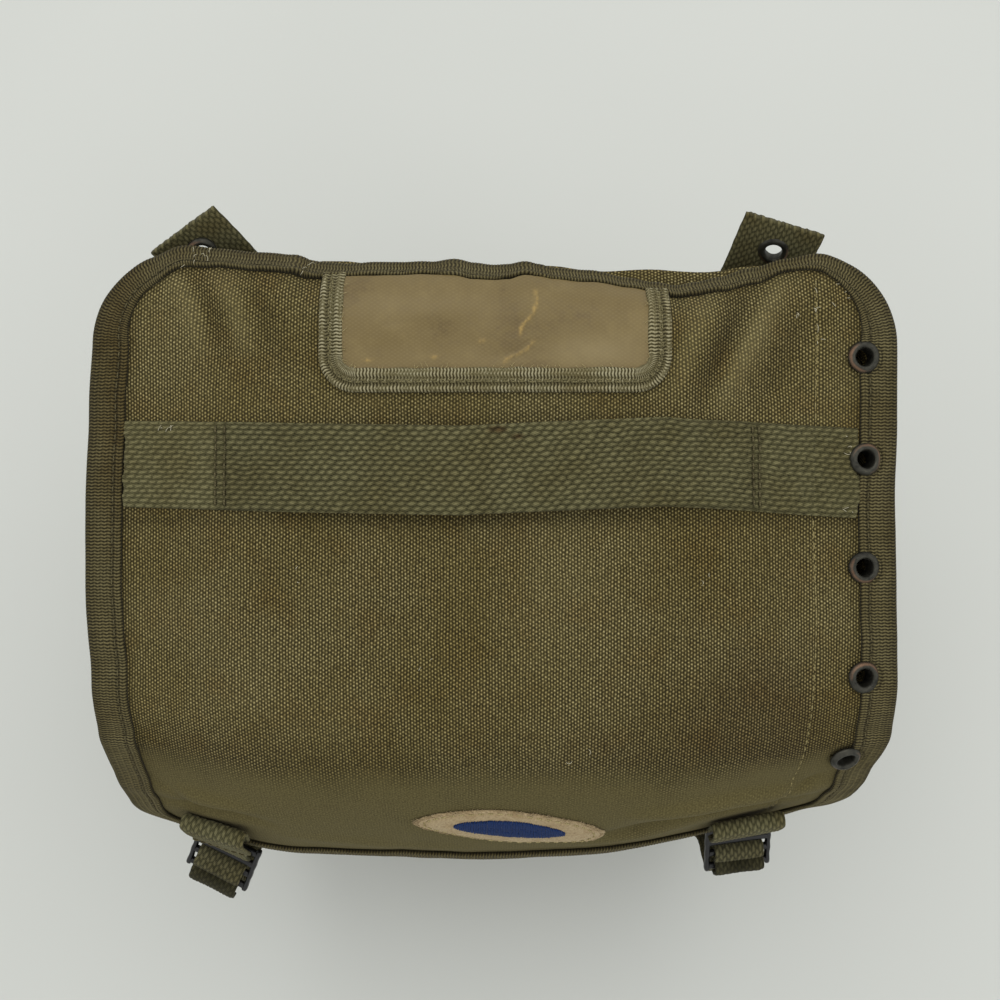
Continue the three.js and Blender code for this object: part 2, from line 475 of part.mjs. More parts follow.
// Height of the lid above a place on the floor plan, found along the lid's length.
function lidHeight(x, y) {
  let lo = drawnIn(x), hi = LID_LENGTH;
  for (let k = 0; k < 40; k++) { const s = (lo + hi) / 2; lidMiddle(x, s).y > y ? (lo = s) : (hi = s); }
  return lidMiddle(x, (lo + hi) / 2).z;
}
function rimHeight(side, t) {
  let z = 185;
  for (let k = 0; k < 12; k++) {
    const p = bagPoint(side, t, z);
    const room = BAG_RIM_ROOM.front + (BAG_RIM_ROOM.back - BAG_RIM_ROOM.front) * soft((p.y - 55) / 30);
    const want = lidHeight(p.x, p.y) - room + (side === 2 ? ease(BACK_RIM, "x", "up", p.x) : 0);
    z += 0.5 * (want - z);
  }
  return z;
}
const PANEL_STEPS = 17;
["front_panel", "side_right", "back_panel", "side_left"].forEach((name, side) => {
  const ts = Array.from({ length: PANEL_STEPS }, (_, j) => j / (PANEL_STEPS - 1)), z0 = BAG_SECTIONS[0].z;
  const length = bagPoint(side, 0, 100).distanceTo(bagPoint(side, 1, 100)), trim = SEAM_GAP / 2 / length;
  const grid = (depth) => (i, j) => {
    const t = Math.min(1 - trim, Math.max(trim, ts[j])), z = z0 + (rimHeight(side, t) - z0) * BAG_LEVELS[i];
    return bagPoint(side, t, z).addScaledVector(bagNormal(side, t, z), -depth);
  };
  add(name, wall(BAG_LEVELS.length, PANEL_STEPS, grid(0), grid(CANVAS_T)).geometry(), CANVAS, 0.95);
});
{
  const ring = [];
  for (let side = 0; side < 4; side++) for (let j = 0; j + 1 < PANEL_STEPS; j++) ring.push(bagPoint(side, j / (PANEL_STEPS - 1), BAG_SECTIONS[0].z));
  const solid = new Solid();
  const levels = [0, BAG_BASE_T].map((z) => ({ mid: solid.point(V(0, 10, z)), ids: ring.map((p) => solid.point(V(p.x, p.y, z))) }));
  ring.forEach((_, j) => {
    const n = (j + 1) % ring.length;
    solid.tri(levels[0].mid, levels[0].ids[n], levels[0].ids[j]);
    solid.tri(levels[1].mid, levels[1].ids[j], levels[1].ids[n]);
    solid.quad(levels[0].ids[j], levels[0].ids[n], levels[1].ids[n], levels[1].ids[j]);
  });
  add("base_panel", solid.geometry(), CANVAS, 0.95);
}

// ---------------------------------------------------------------- closing straps
// Front face of the bag at a place across it.
function bagFront(x, z) {
  const a = bag("half", z), f = bag("front", z), r = bag("radius", z), over = Math.max(0, Math.abs(x) - (a - r));
  return f + r - Math.sqrt(Math.max(0, r * r - over * over)) - bag("bow_front", z) * (1 - (x / a) ** 2);
}
for (const { side, u, twist, swing, roll, lower, tail, tail_dir } of STRAPS) {
  const root = onLid(u, LID_LENGTH, 0), out = lidNormal(u, LID_LENGTH);
  const along = onLid(u + 8, LID_LENGTH, 0).sub(onLid(u - 8, LID_LENGTH, 0)).normalize();
  const down = V().crossVectors(out, along).normalize();
  if (down.z > 0) down.negate();
  const outward = V().crossVectors(along, down).normalize();
  if (outward.dot(out) < 0) outward.negate();
  // The web is sewn on at a slight twist to the hem.
  const skew = rad(twist);
  const across = along.clone().multiplyScalar(Math.cos(skew)).addScaledVector(outward, Math.sin(skew));
  const face = outward.clone().multiplyScalar(Math.cos(skew)).addScaledVector(along, -Math.sin(skew));
  const local = (s, h) => root.clone().addScaledVector(down, s).addScaledVector(face, h - 0.0029 * Math.min(s, 0) ** 2);

  // Web sewn on the lid's front with its end rolled over, holding the buckle by its top bar.
  const loopR = BUCKLE.bar_r + 0.75 + WEB_T / 2, barS = 6.5, barH = 1.85;
  const rollR = 1.9;
  const fold = [{ s: roll + 5.5, h: lower }, { s: roll + 2.5, h: lower }, { s: roll, h: lower }];
  for (let k = 1; k < 6; k++) { const t = rad(-90 - 30 * k); fold.push({ s: roll + rollR * Math.cos(t), h: lower + rollR + rollR * Math.sin(t) }); }
  fold.push({ s: roll, h: lower + 2 * rollR }, { s: roll + 6, h: lower + 2 * rollR - 0.4 }, { s: -10, h: 5.5 }, { s: -4, h: 5.1 }, { s: 2, h: barH + loopR + 0.1 });
  for (let k = 0; k <= 7; k++) { const t = rad(90 - 20 * k); fold.push({ s: barS + loopR * Math.cos(t), h: barH + loopR * Math.sin(t) }); }
  // Four-bar buckle, leaning out from the front.
  const tilt = rad(BUCKLE.tilt_deg);
  const lean = down.clone().multiplyScalar(Math.cos(tilt)).addScaledVector(face, Math.sin(tilt));
  const q1 = face.clone().multiplyScalar(Math.cos(tilt)).addScaledVector(down, -Math.sin(tilt));
  // The buckle hangs a little to one side within its own plane.
  const turn = rad(swing);
  const p1 = lean.clone().multiplyScalar(Math.cos(turn)).addScaledVector(across, Math.sin(turn));
  const x1 = across.clone().multiplyScalar(Math.cos(turn)).addScaledVector(lean, -Math.sin(turn));
  const bar0 = local(barS, barH);
  const runOf = (points, place, edge, width) => points.map((p, k) => {
    const a = points[Math.max(0, k - 1)], b = points[Math.min(points.length - 1, k + 1)];
    const tangent = place(b).sub(place(a)).normalize(), e = edge(p);
    return { at: place(p), side: e, face: V().crossVectors(tangent, e).normalize(), width: width(p) };
  });
  // The web turns with the buckle towards its loop, and narrows to pass between the rails.
  const turned = (p) => across.clone().lerp(x1, soft((p.s + 2) / 6)).normalize();
  const taper = (p) => TAB_W - (TAB_W - LOOP_W) * soft((p.s + 11) / 13);
  add(`buckle_web_${side}`, strap(runOf(fold, (p) => local(p.s, p.h), turned, taper), WEB_T).geometry(), WEB, 0.9);
  const inBuckle = (x, p, q) => bar0.clone().addScaledVector(x1, x).addScaledVector(p1, p).addScaledVector(q1, q);
  const half = BUCKLE.inner + BUCKLE.rail;
  let buckle = null;
  const join = (solid) => { const m = solid.manifold(); buckle = buckle ? buckle.add(m) : m; };
  for (const e of [-1, 1]) {
    const foot = BUCKLE.bars[3];
    const rim = [[-1.9, 0.5], [-1.2, 1.2], [foot + 1.2, 1.2], [foot + 1.9, 0.5], [foot + 1.9, -0.5], [foot + 1.2, -1.2], [-1.2, -1.2], [-1.9, -0.5]];
    join(loft([BUCKLE.inner, half].map((x) => rim.map(([p, q]) => inBuckle(e * x, p, q)))));
  }
  for (const at of BUCKLE.bars)
    join(loft([-1, 1].map((e) => Array.from({ length: 8 }, (_, j) => {
      const t = rad(22.5 + 45 * j);
      return inBuckle(e * (BUCKLE.inner + 0.8), at + BUCKLE.bar_r * Math.cos(t), BUCKLE.bar_r * Math.sin(t));
    }))));
  add(`buckle_${side}`, geometryOf(buckle), DARK, 0.4, 0.6);

  // Strap: up the bag's front, behind the lower bars, over the third bar and down as a short tail.
  const R = BUCKLE.bar_r + 0.4 + WEB_T / 2, mid = BUCKLE.bars[2], low = BUCKLE.bars[3];
  const path = [{ p: low + 3, q: -R - 1.4 }, { p: low - 1, q: -R - 0.2 }, { p: mid + 3, q: -R }];
  for (let k = 0; k <= 6; k++) { const t = rad(270 - 30 * k); path.push({ p: mid + R * Math.cos(t), q: R * Math.sin(t) }); }
  path.push({ p: mid + 1.5, q: R + 0.5 }, { p: 12.9, q: R + 1.05 });
  const bend = rad(tail_dir), n = 3, end = { p: 13.4, q: R + 1.05 };
  for (let k = 0; k <= n; k++) path.push({ p: end.p + (tail * k / n) * Math.cos(bend), q: end.q + (tail * k / n) * Math.sin(bend) });
  const upper = runOf(path, (c) => inBuckle(0, c.p, c.q), () => x1, () => STRAP_W);
  const centreX = root.x, spread = (STRAP_W / 2) * Math.abs(across.x);
  const foot = [24, 36, 49, 62].map((z, k) => {
    const l = V(centreX - spread, bagFront(centreX - spread, z), z), r = V(centreX + spread, bagFront(centreX + spread, z), z);
    const x = r.clone().sub(l).normalize(), n2 = V(x.y, -x.x, 0).normalize();
    return { at: l.add(r).multiplyScalar(0.5).addScaledVector(n2, 4.4 + 0.5 * k), side: x, face: n2, width: STRAP_W };
  });
  // The faces of one strap all turn the same way along its run.
  const stations = [...foot, ...upper];
  for (let k = 0; k < stations.length; k++) {
    const a = stations[Math.max(0, k - 1)].at, b = stations[Math.min(stations.length - 1, k + 1)].at;
    const tangent = b.clone().sub(a).normalize();
    stations[k].face = V().crossVectors(stations[k].side, tangent).normalize();
  }
  add(`strap_${side}`, strap(stations, WEB_T).geometry(), WEB, 0.9);
}

// ---------------------------------------------------------------- back tabs
for (const tab of TABS) {
  const lean = rad(tab.lean), turn = rad(tab.turn);
  const rows = [0, 0.3, 0.55, 0.7, 0.84, 1].map((f) => {
    const g = soft((f - 0.3) / 0.7), turned = turn * g, leaned = lean * g;
    const side = V(Math.cos(turned) * Math.cos(leaned), Math.sin(turned), -Math.sin(leaned)).normalize();
    return {
      at: V(tab.foot_x + (tab.tip_x - tab.foot_x) * f * f, tab.y_foot + (tab.y_top - tab.y_foot) * f ** 3, tab.foot_z + (tab.tip_z - tab.foot_z) * f),
      side, face: V(0, 1, 0), width: TAB_W,
    };
  });
  rows.forEach((row, k) => {
    const t = rows[Math.min(rows.length - 1, k + 1)].at.clone().sub(rows[Math.max(0, k - 1)].at).normalize();
    row.face = V().crossVectors(t, row.side).normalize();
    row.side = V().crossVectors(row.face, t).normalize();
  });
  const last = rows[rows.length - 1], before = rows[rows.length - 2];
  const centre = before.at.clone().lerp(last.at, tab.eyelet), axis = before.face.clone().add(last.face).normalize();
  if (axis.y < 0) axis.negate();
  // The rolled rim faces the front.
  axis.negate();
  const web = strap(rows, TAB_T).manifold().subtract(cylinder(centre, axis, EYELET.barrel + 0.4, 8).manifold());
  add(`tab_${tab.side}`, geometryOf(web), WEB, 0.9);
  const lift = TAB_T / 2 - CANVAS_T / 2;
  const around = EYELET_SIDES, a = V().crossVectors(V(1, 0, 0), axis).normalize(), b = V().crossVectors(axis, a);
  const shape = EYELET_PROFILE.map(({ r, h }) => ({ r, h: h > 0 ? h + lift : h - lift }));
  add(`tab_eyelet_${tab.side}`, loft(Array.from({ length: around }, (_, k) => {
    const t = (k / around) * Math.PI * 2, o = a.clone().multiplyScalar(Math.cos(t)).addScaledVector(b, Math.sin(t));
    return shape.map(({ r, h }) => centre.clone().addScaledVector(o, r).addScaledVector(axis, h));
  }), true).geometry(), BRASS, 0.45, 0.9);
}

export default pack;
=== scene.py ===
# Canvas field pack: looks. All shapes are worked out in millimetres in the same
# frame as the CAD model and written to meshes in metres.
import bpy
import math
import numpy as np
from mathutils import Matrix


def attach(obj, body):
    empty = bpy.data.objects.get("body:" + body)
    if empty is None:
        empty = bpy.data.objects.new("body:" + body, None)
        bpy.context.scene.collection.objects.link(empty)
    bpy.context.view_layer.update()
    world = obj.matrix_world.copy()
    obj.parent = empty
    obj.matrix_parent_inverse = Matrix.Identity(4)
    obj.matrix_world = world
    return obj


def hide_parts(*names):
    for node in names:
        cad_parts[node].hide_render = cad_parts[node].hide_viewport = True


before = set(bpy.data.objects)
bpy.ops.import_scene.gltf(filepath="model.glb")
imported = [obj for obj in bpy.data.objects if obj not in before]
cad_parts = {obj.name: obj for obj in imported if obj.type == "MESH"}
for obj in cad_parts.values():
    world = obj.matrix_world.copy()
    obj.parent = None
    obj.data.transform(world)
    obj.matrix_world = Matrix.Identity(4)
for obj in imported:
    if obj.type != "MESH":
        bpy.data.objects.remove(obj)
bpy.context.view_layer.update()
rng = np.random.default_rng(7)

# ------------------------------------------------------------------ sizes (mm)
SHIFT = np.array([0.02, -6.73, 0.0])
CLOTH = 0.85                   # half thickness of the lid's canvas
LID_LENGTH = 218.0
REAR_R, FRONT_R = 28.0, 26.0
LID_CROWN = 2.0
ANCHOR = (75.0, 17.5, 212.0)
BIND_W, HEM_W = 10.5, 7.4
HANDLE = dict(s0=53.0, s1=79.0, left=-110.2, right=109.6, lift=5.0)
WINDOW = dict(left=-51.0, right=53.0, bottom=43.5, tape=7.2, radius=11.0)
PATCH = dict(u=5.5, s=186.0, half_u=29.8, half_s=13.6)
STRAP_W, LOOP_W, TAB_W, WEB_T = 17.5, 17.4, 25.4, 1.6
BUCKLE = dict(inner=9.9, rail=2.0, bar_r=1.25, bars=(0.0, 5.2, 9.9, 15.6), tilt=42.0)

PROFILE = np.array([(0, -13), (40, -15), (100, -17), (131, -20), (149, -37), (169, -60), (187, -71), (207, -80), (222, -84)], float)
# s, half left, half right, hang left, hang right, hang from left, hang from right
LID = np.array([
    (0, 117.4, 119.4, 3.0, 3.0, 62, 62), (22, 118.7, 120.4, 4.6, 4.6, 62, 62), (50, 120.4, 120.7, 7.0, 7.0, 62, 62),
    (75, 121.4, 120.2, 8.0, 8.0, 62, 62), (100, 121.6, 120.8, 9.2, 9.2, 62, 62), (131, 120.0, 121.5, 10.0, 10.0, 62, 62),
    (150, 119.2, 121.0, 10.6, 10.6, 62, 58), (175, 118.0, 118.4, 11.0, 12.0, 62, 48), (222, 115.0, 113.0, 9.5, 13.5, 62, 25)], float)
ROLL = dict(depth=11.0, reach=18.0, flat_from=55.0, flat_over=50.0, keep=0.5)
# u, how far the back edge is drawn in, width of its tape
REAR = np.array([
    (-102, 0, 6.8), (-94, -1.8, 6.2), (-84, -0.8, 5.8), (-72, 0.3, 5.9), (-61, 1.1, 6.3), (-56, 2.9, 5.9), (-44, 3.9, 4.4), (-36, 3.4, 4.8),
    (-19, 3.2, 4.6), (-12, 2.0, 6.2), (-6, 3.4, 6.0), (0.5, 4.0, 5.6), (5, 3.8, 5.4), (10, 3.0, 5.0), (14, 3.8, 4.6), (18, 4.8, 4.2), (30, 5.9, 4.1),
    (41, 8.0, 3.6), (49, 9.3, 3.5), (56, 10.5, 3.6), (62, 9.5, 4.0), (69, 8.2, 4.1), (79, 5.2, 4.4), (90, 2.4, 3.8), (102, 0, 3.8)], float)
# u, s, along, across, bearing, height: soft folds of the lid
FOLDS = [(74, 34, 26, 9, 112, -2.2), (62, 38, 24, 8, 112, 1.4), (-78, 26, 16, 9, 70, -1.6), (20, 112, 60, 26, 10, 1.6),
         (-92, 186, 18, 8, -18, 1.6), (84, 182, 26, 7, 12, 1.6), (-6, 218, 32, 36, 0, 1.3)]
EYELETS = [(111.0, 31.8), (111.2, 62.4), (111.2, 95.0), (111.4, 128.6), (108.4, 161.6)]
# z, half, front, back, radius, bow front, bow back, bow side
BAG = np.array([
    (2.8, 94, -54, 75, 26, 2, 1, 1), (10, 99.5, -59, 82, 28, 3, 1.5, 2), (30, 103, -64, 86.5, 30, 5, 2.5, 3),
    (80, 105.5, -67, 89, 32, 8, 3, 4), (115, 105.5, -66, 89, 33.5, 8, 3, 4.5), (140, 106, -61.5, 89.5, 34, 8, 2.8, 5),
    (160, 109.5, -57, 90, 31, 8, 2.8, 5), (185, 111, -49, 90.5, 29, 6, 3, 5.5), (222, 112, -38, 91.5, 27, 4, 3.5, 5.5)], float)
BACK_RIM = np.array([(-58, 0), (-52, 1.8), (-46, 1.4), (-34, -1.6), (18, -2.0), (32, -4.4), (52, -1.6), (68, -3.2), (82, 0)], float)
# side, u, twist, swing, roll, lower, tail, way of the tail
STRAPS = [("left", -90.5, 2.5, -11.0, -25.0, 3.1, 10.0, -18.0), ("right", 85.0, 2.0, -4.0, -21.0, 3.9, 5.6, -20.0)]
# side, lean, turn, foot x, tip x, tip z, y at the foot and the top, place of the eyelet
TABS = [("left", -36.3, 29.4, -74.6, -95.7, 221.3, 93.8, 102.1, 0.31), ("right", 28.1, -25.4, 83.2, 90.6, 221.0, 93.8, 104.3, 0.13)]


# ------------------------------------------------------------------ helpers
def soft(t):
    c = np.clip(t, 0.0, 1.0)
    return c * c * (3 - 2 * c)


def ease(table, col, at):
    """Column of a table at some place, eased between its rows."""
    x = table[:, 0]
    at = np.asarray(at, float)
    i = np.clip(np.searchsorted(x, at, side="left") - 1, 0, len(x) - 2)
    f = soft((at - x[i]) / (x[i + 1] - x[i]))
    return table[i, col] + (table[i + 1, col] - table[i, col]) * f


def unit(v):
    return v / np.maximum(np.linalg.norm(v, axis=-1, keepdims=True), 1e-9)


def hash01(i, seed=0.0):
    """A fixed scatter of numbers from 0 to 1 for whole numbers i."""
    x = np.sin(np.asarray(i, float) * 127.1 + seed * 311.7 + 12.9898) * 43758.5453
    return x - np.floor(x)


def noise2(x, y, seed=0.0):
    """Smooth value noise, about -1 to 1."""
    xi, yi = np.floor(x), np.floor(y)
    fx, fy = soft(x - xi), soft(y - yi)
    h = lambda a, b: hash01(a * 57.0 + b * 113.0, seed)
    a = h(xi, yi) * (1 - fx) + h(xi + 1, yi) * fx
    b = h(xi, yi + 1) * (1 - fx) + h(xi + 1, yi + 1) * fx
    return 2 * (a * (1 - fy) + b * fy) - 1


def fbm(x, y, seed=0.0, octaves=3):
    total, amp, norm = 0.0, 1.0, 0.0
    for k in range(octaves):
        total = total + amp * noise2(x * 2 ** k, y * 2 ** k, seed + 3.1 * k)
        norm += amp
        amp *= 0.5
    return total / norm


# ------------------------------------------------------------------ lid surface
_s = np.arange(-12.0, 262.01, 0.5)
_dir = np.radians(np.interp(_s + 0.25, PROFILE[:, 0], PROFILE[:, 1]))
_y = np.concatenate([[0], np.cumsum(-np.cos(_dir) * 0.5)[:-1]])
_z = np.concatenate([[0], np.cumsum(np.sin(_dir) * 0.5)[:-1]])
_y += ANCHOR[1] - np.interp(ANCHOR[0], _s, _y)
_z += ANCHOR[2] - np.interp(ANCHOR[0], _s, _z)


def drawn_in(u):
    return ease(REAR, 1, u)


def back_tape(u):
    return ease(REAR, 2, u)


def half_width(s, right):
    return np.where(right, ease(LID, 2, s), ease(LID, 1, s))


def seam_u(s):
    """Place of the long stitch line beside the eyelets."""
    return np.interp(s, [0, 24, 80, 112, 141, 166, 183, 205], [97.2, 97.0, 95.5, 96.5, 95.5, 94.0, 92.5, 90.0])


def near_line(u, s, points):
    """Distance to a line through some points, and the share of the way along it."""
    p = np.array(points, float)
    best, along = np.full(np.shape(u), 1e9), np.zeros(np.shape(u))
    total = len(p) - 1
    for k in range(total):
        d = p[k + 1] - p[k]
        f = np.clip(((u - p[k, 0]) * d[0] + (s - p[k, 1]) * d[1]) / (d @ d), 0, 1)
        r = np.hypot(u - p[k, 0] - f * d[0], s - p[k, 1] - f * d[1])
        along = np.where(r < best, (k + f) / total, along)
        best = np.minimum(r, best)
    return best, along


# height, half width, line through (u, s)
CREASES = [
    # beside the window
    (1.5, 3.4, [(87, 10), (77, 28), (68, 45)]), (-2.1, 3.8, [(77, 11), (68, 29), (60, 46)]), (-0.9, 3.6, [(95, 16), (86, 33), (78, 48)]),
    (0.8, 3.0, [(66, 13), (59, 28), (54, 44)]),
    # at the back on the left
    (1.1, 2.8, [(-97, 7), (-90, 16), (-86, 30)]), (-1.3, 2.8, [(-90, 7), (-84, 17), (-80, 32)]), (1.0, 2.8, [(-82, 7), (-76, 18), (-72, 32)]),
    (-0.9, 3.2, [(-72, 9), (-67, 20), (-63, 34)]),
    # over the buckle webs
    (1.9, 3.2, [(106, 181), (92, 178), (76, 175), (60, 176), (44, 179)]), (-2.8, 3.4, [(99, 189), (85, 185), (70, 184), (52, 187), (38, 193)]),
    (1.2, 3.6, [(62, 193), (46, 198), (26, 203)]), (-1.0, 2.2, [(104, 172), (97, 176), (90, 182)]),
    (-2.0, 2.8, [(-108, 188), (-96, 186), (-82, 183), (-70, 186)]), (1.4, 3.2, [(-104, 180), (-90, 178), (-76, 178)]), (-1.1, 2.4, [(-104, 176), (-98, 181), (-94, 187)]),
    (0.9, 4.0, [(-66, 196), (-40, 202), (-10, 206)]), (-0.7, 2.4, [(-30, 210), (10, 210), (40, 209)])]


def creased(u, s):
    """Drag lines and tucks of the lid; all die away towards the tape."""
    d = 0.0
    for (h, w, line) in CREASES:
        r, f = near_line(u, s, line)
        d = d + h * np.exp(-(r / w) ** 2) * (0.25 + 0.75 * np.sin(np.pi * (0.06 + 0.88 * f)))
    return d * soft((half_width(s, u > 0) - np.abs(u) - 6.0) / 14.0) * soft((LID_LENGTH - s - 4.0) / 8.0)


def rumpled(u, s):
    """Soft unevenness of the cloth."""
    return 0.60 * fbm(u / 46.0, s / 40.0, 1.0, 3) + 0.26 * fbm(u / 15.0, s / 17.0, 5.0, 2)


def fine(u, s):
    """Small folds and sag of the cloth, positive outwards."""
    a = np.abs(u)
    d = rumpled(u, s) + creased(u, s)
    # puckers along the two side bindings and the back edge
    side = np.exp(-((half_width(s, u > 0) - BIND_W - a) / 9.0) ** 2)
    d = d + 0.30 * side * np.sin(s / 3.4 + 2.2 * noise2(s / 16.0, u * 0 + 3.0, 2.0))
    back = np.exp(-((s - drawn_in(u) - back_tape(u)) / 9.0) ** 2)
    d = d + 0.34 * back * np.sin(u / 4.3 + 2.4 * noise2(u / 15.0, s * 0 + 9.0, 4.0))
    # groove of the long stitch line
    return d - 0.42 * np.exp(-((u - seam_u(s)) / 0.9) ** 2) * soft((s - 5) / 5)


def sunk(u, s):
    a = np.abs(u)
    start = np.where(u < 0, ease(LID, 5, s), ease(LID, 6, s))
    hang = np.where(u < 0, ease(LID, 3, s), ease(LID, 4, s)) * soft((a - start) / (122 - start))
    roll = ROLL["depth"] * (np.maximum(0, ROLL["reach"] + drawn_in(u) - s) / ROLL["reach"]) ** 2
    roll = roll * (1 - ROLL["keep"] * soft((a - ROLL["flat_from"]) / ROLL["flat_over"]))
    folds = 0.0
    for (cu, cs, al, ac, be, he) in FOLDS:
        c, e = math.cos(math.radians(be)), math.sin(math.radians(be))
        l, w = ((u - cu) * c + (s - cs) * e) / al, ((s - cs) * c - (u - cu) * e) / ac
        folds = folds + he * np.exp(-l * l - w * w)
    return hang + LID_CROWN * (u / 122) ** 2 + roll - folds


def lid_mid(u, s, detail=True):
    u, s = np.broadcast_arrays(np.asarray(u, float), np.asarray(s, float))
    d = np.radians(np.interp(s, PROFILE[:, 0], PROFILE[:, 1]))
    off = sunk(u, s) - (fine(u, s) if detail else 0.0)
    return np.stack([u, np.interp(s, _s, _y) - np.sin(d) * off, np.interp(s, _s, _z) - np.cos(d) * off], -1) + SHIFT


def lid_normal(u, s, step=0.6, detail=True):
    du = lid_mid(u + step, s, detail) - lid_mid(u - step, s, detail)
    ds = lid_mid(u, s + step, detail) - lid_mid(u, s - step, detail)
    return unit(np.cross(ds, du))


def on_lid(u, s, h, detail=True):
    u, s = np.broadcast_arrays(np.asarray(u, float), np.asarray(s, float))
    return lid_mid(u, s, detail) + lid_normal(u, s, detail=detail) * np.asarray(h, float)[..., None]


# ------------------------------------------------------------------ meshes
def new_mesh(name, verts, quads=None, tris=None, uvs=None, material=None, slot=None, sharp=50.0, ride=True):
    """An object from arrays of points (mm) and faces, turned outwards, riding on the root body."""
    quads = np.zeros((0, 4), int) if quads is None or len(quads) == 0 else np.asarray(quads, int)
    tris = np.zeros((0, 3), int) if tris is None or len(tris) == 0 else np.asarray(tris, int)
    v = np.asarray(verts, float)
    six = 0.0
    for f in ((quads[:, [0, 1, 2]], quads[:, [0, 2, 3]]) if len(quads) else ()):
        six += np.einsum("ij,ij->i", v[f[:, 0]], np.cross(v[f[:, 1]], v[f[:, 2]])).sum()
    if len(tris):
        six += np.einsum("ij,ij->i", v[tris[:, 0]], np.cross(v[tris[:, 1]], v[tris[:, 2]])).sum()
    if six < 0:
        quads, tris = quads[:, ::-1], tris[:, ::-1]
    me = bpy.data.meshes.new(name)
    me.vertices.add(len(v))
    me.vertices.foreach_set("co", (v / 1000.0).astype(np.float32).ravel())
    loops = np.concatenate([quads.ravel(), tris.ravel()]).astype(np.int32)
    me.loops.add(len(loops))
    me.loops.foreach_set("vertex_index", loops)
    starts = np.concatenate([np.arange(len(quads)) * 4, len(quads) * 4 + np.arange(len(tris)) * 3]).astype(np.int32)
    me.polygons.add(len(starts))
    me.polygons.foreach_set("loop_start", starts)
    me.update(calc_edges=True)
    for key, uv in (uvs or {}).items():
        layer = me.uv_layers.new(name=key)
        layer.data.foreach_set("uv", np.asarray(uv, np.float32)[loops].ravel())
    me.validate()
    me.polygons.foreach_set("use_smooth", np.ones(len(me.polygons), bool))
    if sharp:
        me.set_sharp_from_angle(angle=math.radians(sharp))
    ob = bpy.data.objects.new(name, me)
    bpy.context.scene.collection.objects.link(ob)
    if material:
        me.materials.append(material)
    if ride:
        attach(ob, "root")
    return ob


def slab_arrays(top, bot, keep=None):
    """Points and quads of a closed sheet between two grids; keep leaves faces out, for holes."""
    nr, nc = top.shape[:2]
    idx = np.arange(nr * nc).reshape(nr, nc)
    keep = np.ones((nr - 1, nc - 1), bool) if keep is None else keep
    a, b, c, d = idx[:-1, :-1], idx[:-1, 1:], idx[1:, 1:], idx[1:, :-1]
    k = keep.ravel()
    up = np.stack([a.ravel(), b.ravel(), c.ravel(), d.ravel()], 1)[k]
    n = nr * nc
    low = up[:, ::-1] + n
    sides = []
    pad = np.zeros((nr + 1, nc + 1), bool)
    pad[1:-1, 1:-1] = keep
    # edges between a kept face and none
    for (i, j) in zip(*np.nonzero(pad[1:, 1:-1] != pad[:-1, 1:-1])):
        p, q = idx[i, j], idx[i, j + 1]
        sides.append((q, p, p + n, q + n) if pad[i + 1, j + 1] else (p, q, q + n, p + n))
    for (i, j) in zip(*np.nonzero(pad[1:-1, 1:] != pad[1:-1, :-1])):
        p, q = idx[i, j], idx[i + 1, j]
        sides.append((p, q, q + n, p + n) if pad[i + 1, j + 1] else (q, p, p + n, q + n))
    verts = np.concatenate([top.reshape(-1, 3), bot.reshape(-1, 3)])
    quads = np.concatenate([up, low, np.array(sides, int).reshape(-1, 4)])
    used = np.zeros(len(verts), bool)
    used[quads.ravel()] = True
    remap = np.cumsum(used) - 1
    return verts[used], remap[quads], used


def slab(name, top, bot, uv, keep=None, extra=None, **kw):
    verts, quads, used = slab_arrays(top, bot, keep)
    both = lambda t: np.concatenate([t.reshape(-1, 2), t.reshape(-1, 2)])[used]
    uvs = {"cloth": both(uv)}
    for k, t in (extra or {}).items():
        uvs[k] = both(t)
    return new_mesh(name, verts, quads, uvs=uvs, **kw)


def tube_arrays(rings, loop=False):
    ns, m = rings.shape[:2]
    idx = np.arange(ns * m).reshape(ns, m)
    a = idx if loop else idx[:-1]
    b = np.roll(idx, -1, 0) if loop else idx[1:]
    quads = np.stack([a, np.roll(a, -1, 1), np.roll(b, -1, 1), b], -1).reshape(-1, 4)
    tris = []
    if not loop:
        for j in range(1, m - 1):
            tris += [(idx[0, 0], idx[0, j + 1], idx[0, j]), (idx[-1, 0], idx[-1, j], idx[-1, j + 1])]
    return rings.reshape(-1, 3), quads, np.array(tris, int).reshape(-1, 3)


class Bundle:
    """Many small closed shapes gathered into one mesh."""
    def __init__(self):
        self.v, self.q, self.t, self.n, self.uv = [], [], [], 0, []

    def add(self, v, q, t=None, uv=None):
        v = np.asarray(v, float)
        self.v.append(v)
        if q is not None and len(q):
            self.q.append(np.asarray(q) + self.n)
        if t is not None and len(t):
            self.t.append(np.asarray(t) + self.n)
        self.uv.append(np.zeros((len(v), 2)) if uv is None else uv)
        self.n += len(v)

    def make(self, name, **kw):
        q = np.concatenate(self.q) if self.q else None
        t = np.concatenate(self.t) if self.t else None
        return new_mesh(name, np.concatenate(self.v), q, t, uvs={"cloth": np.concatenate(self.uv)}, **kw)


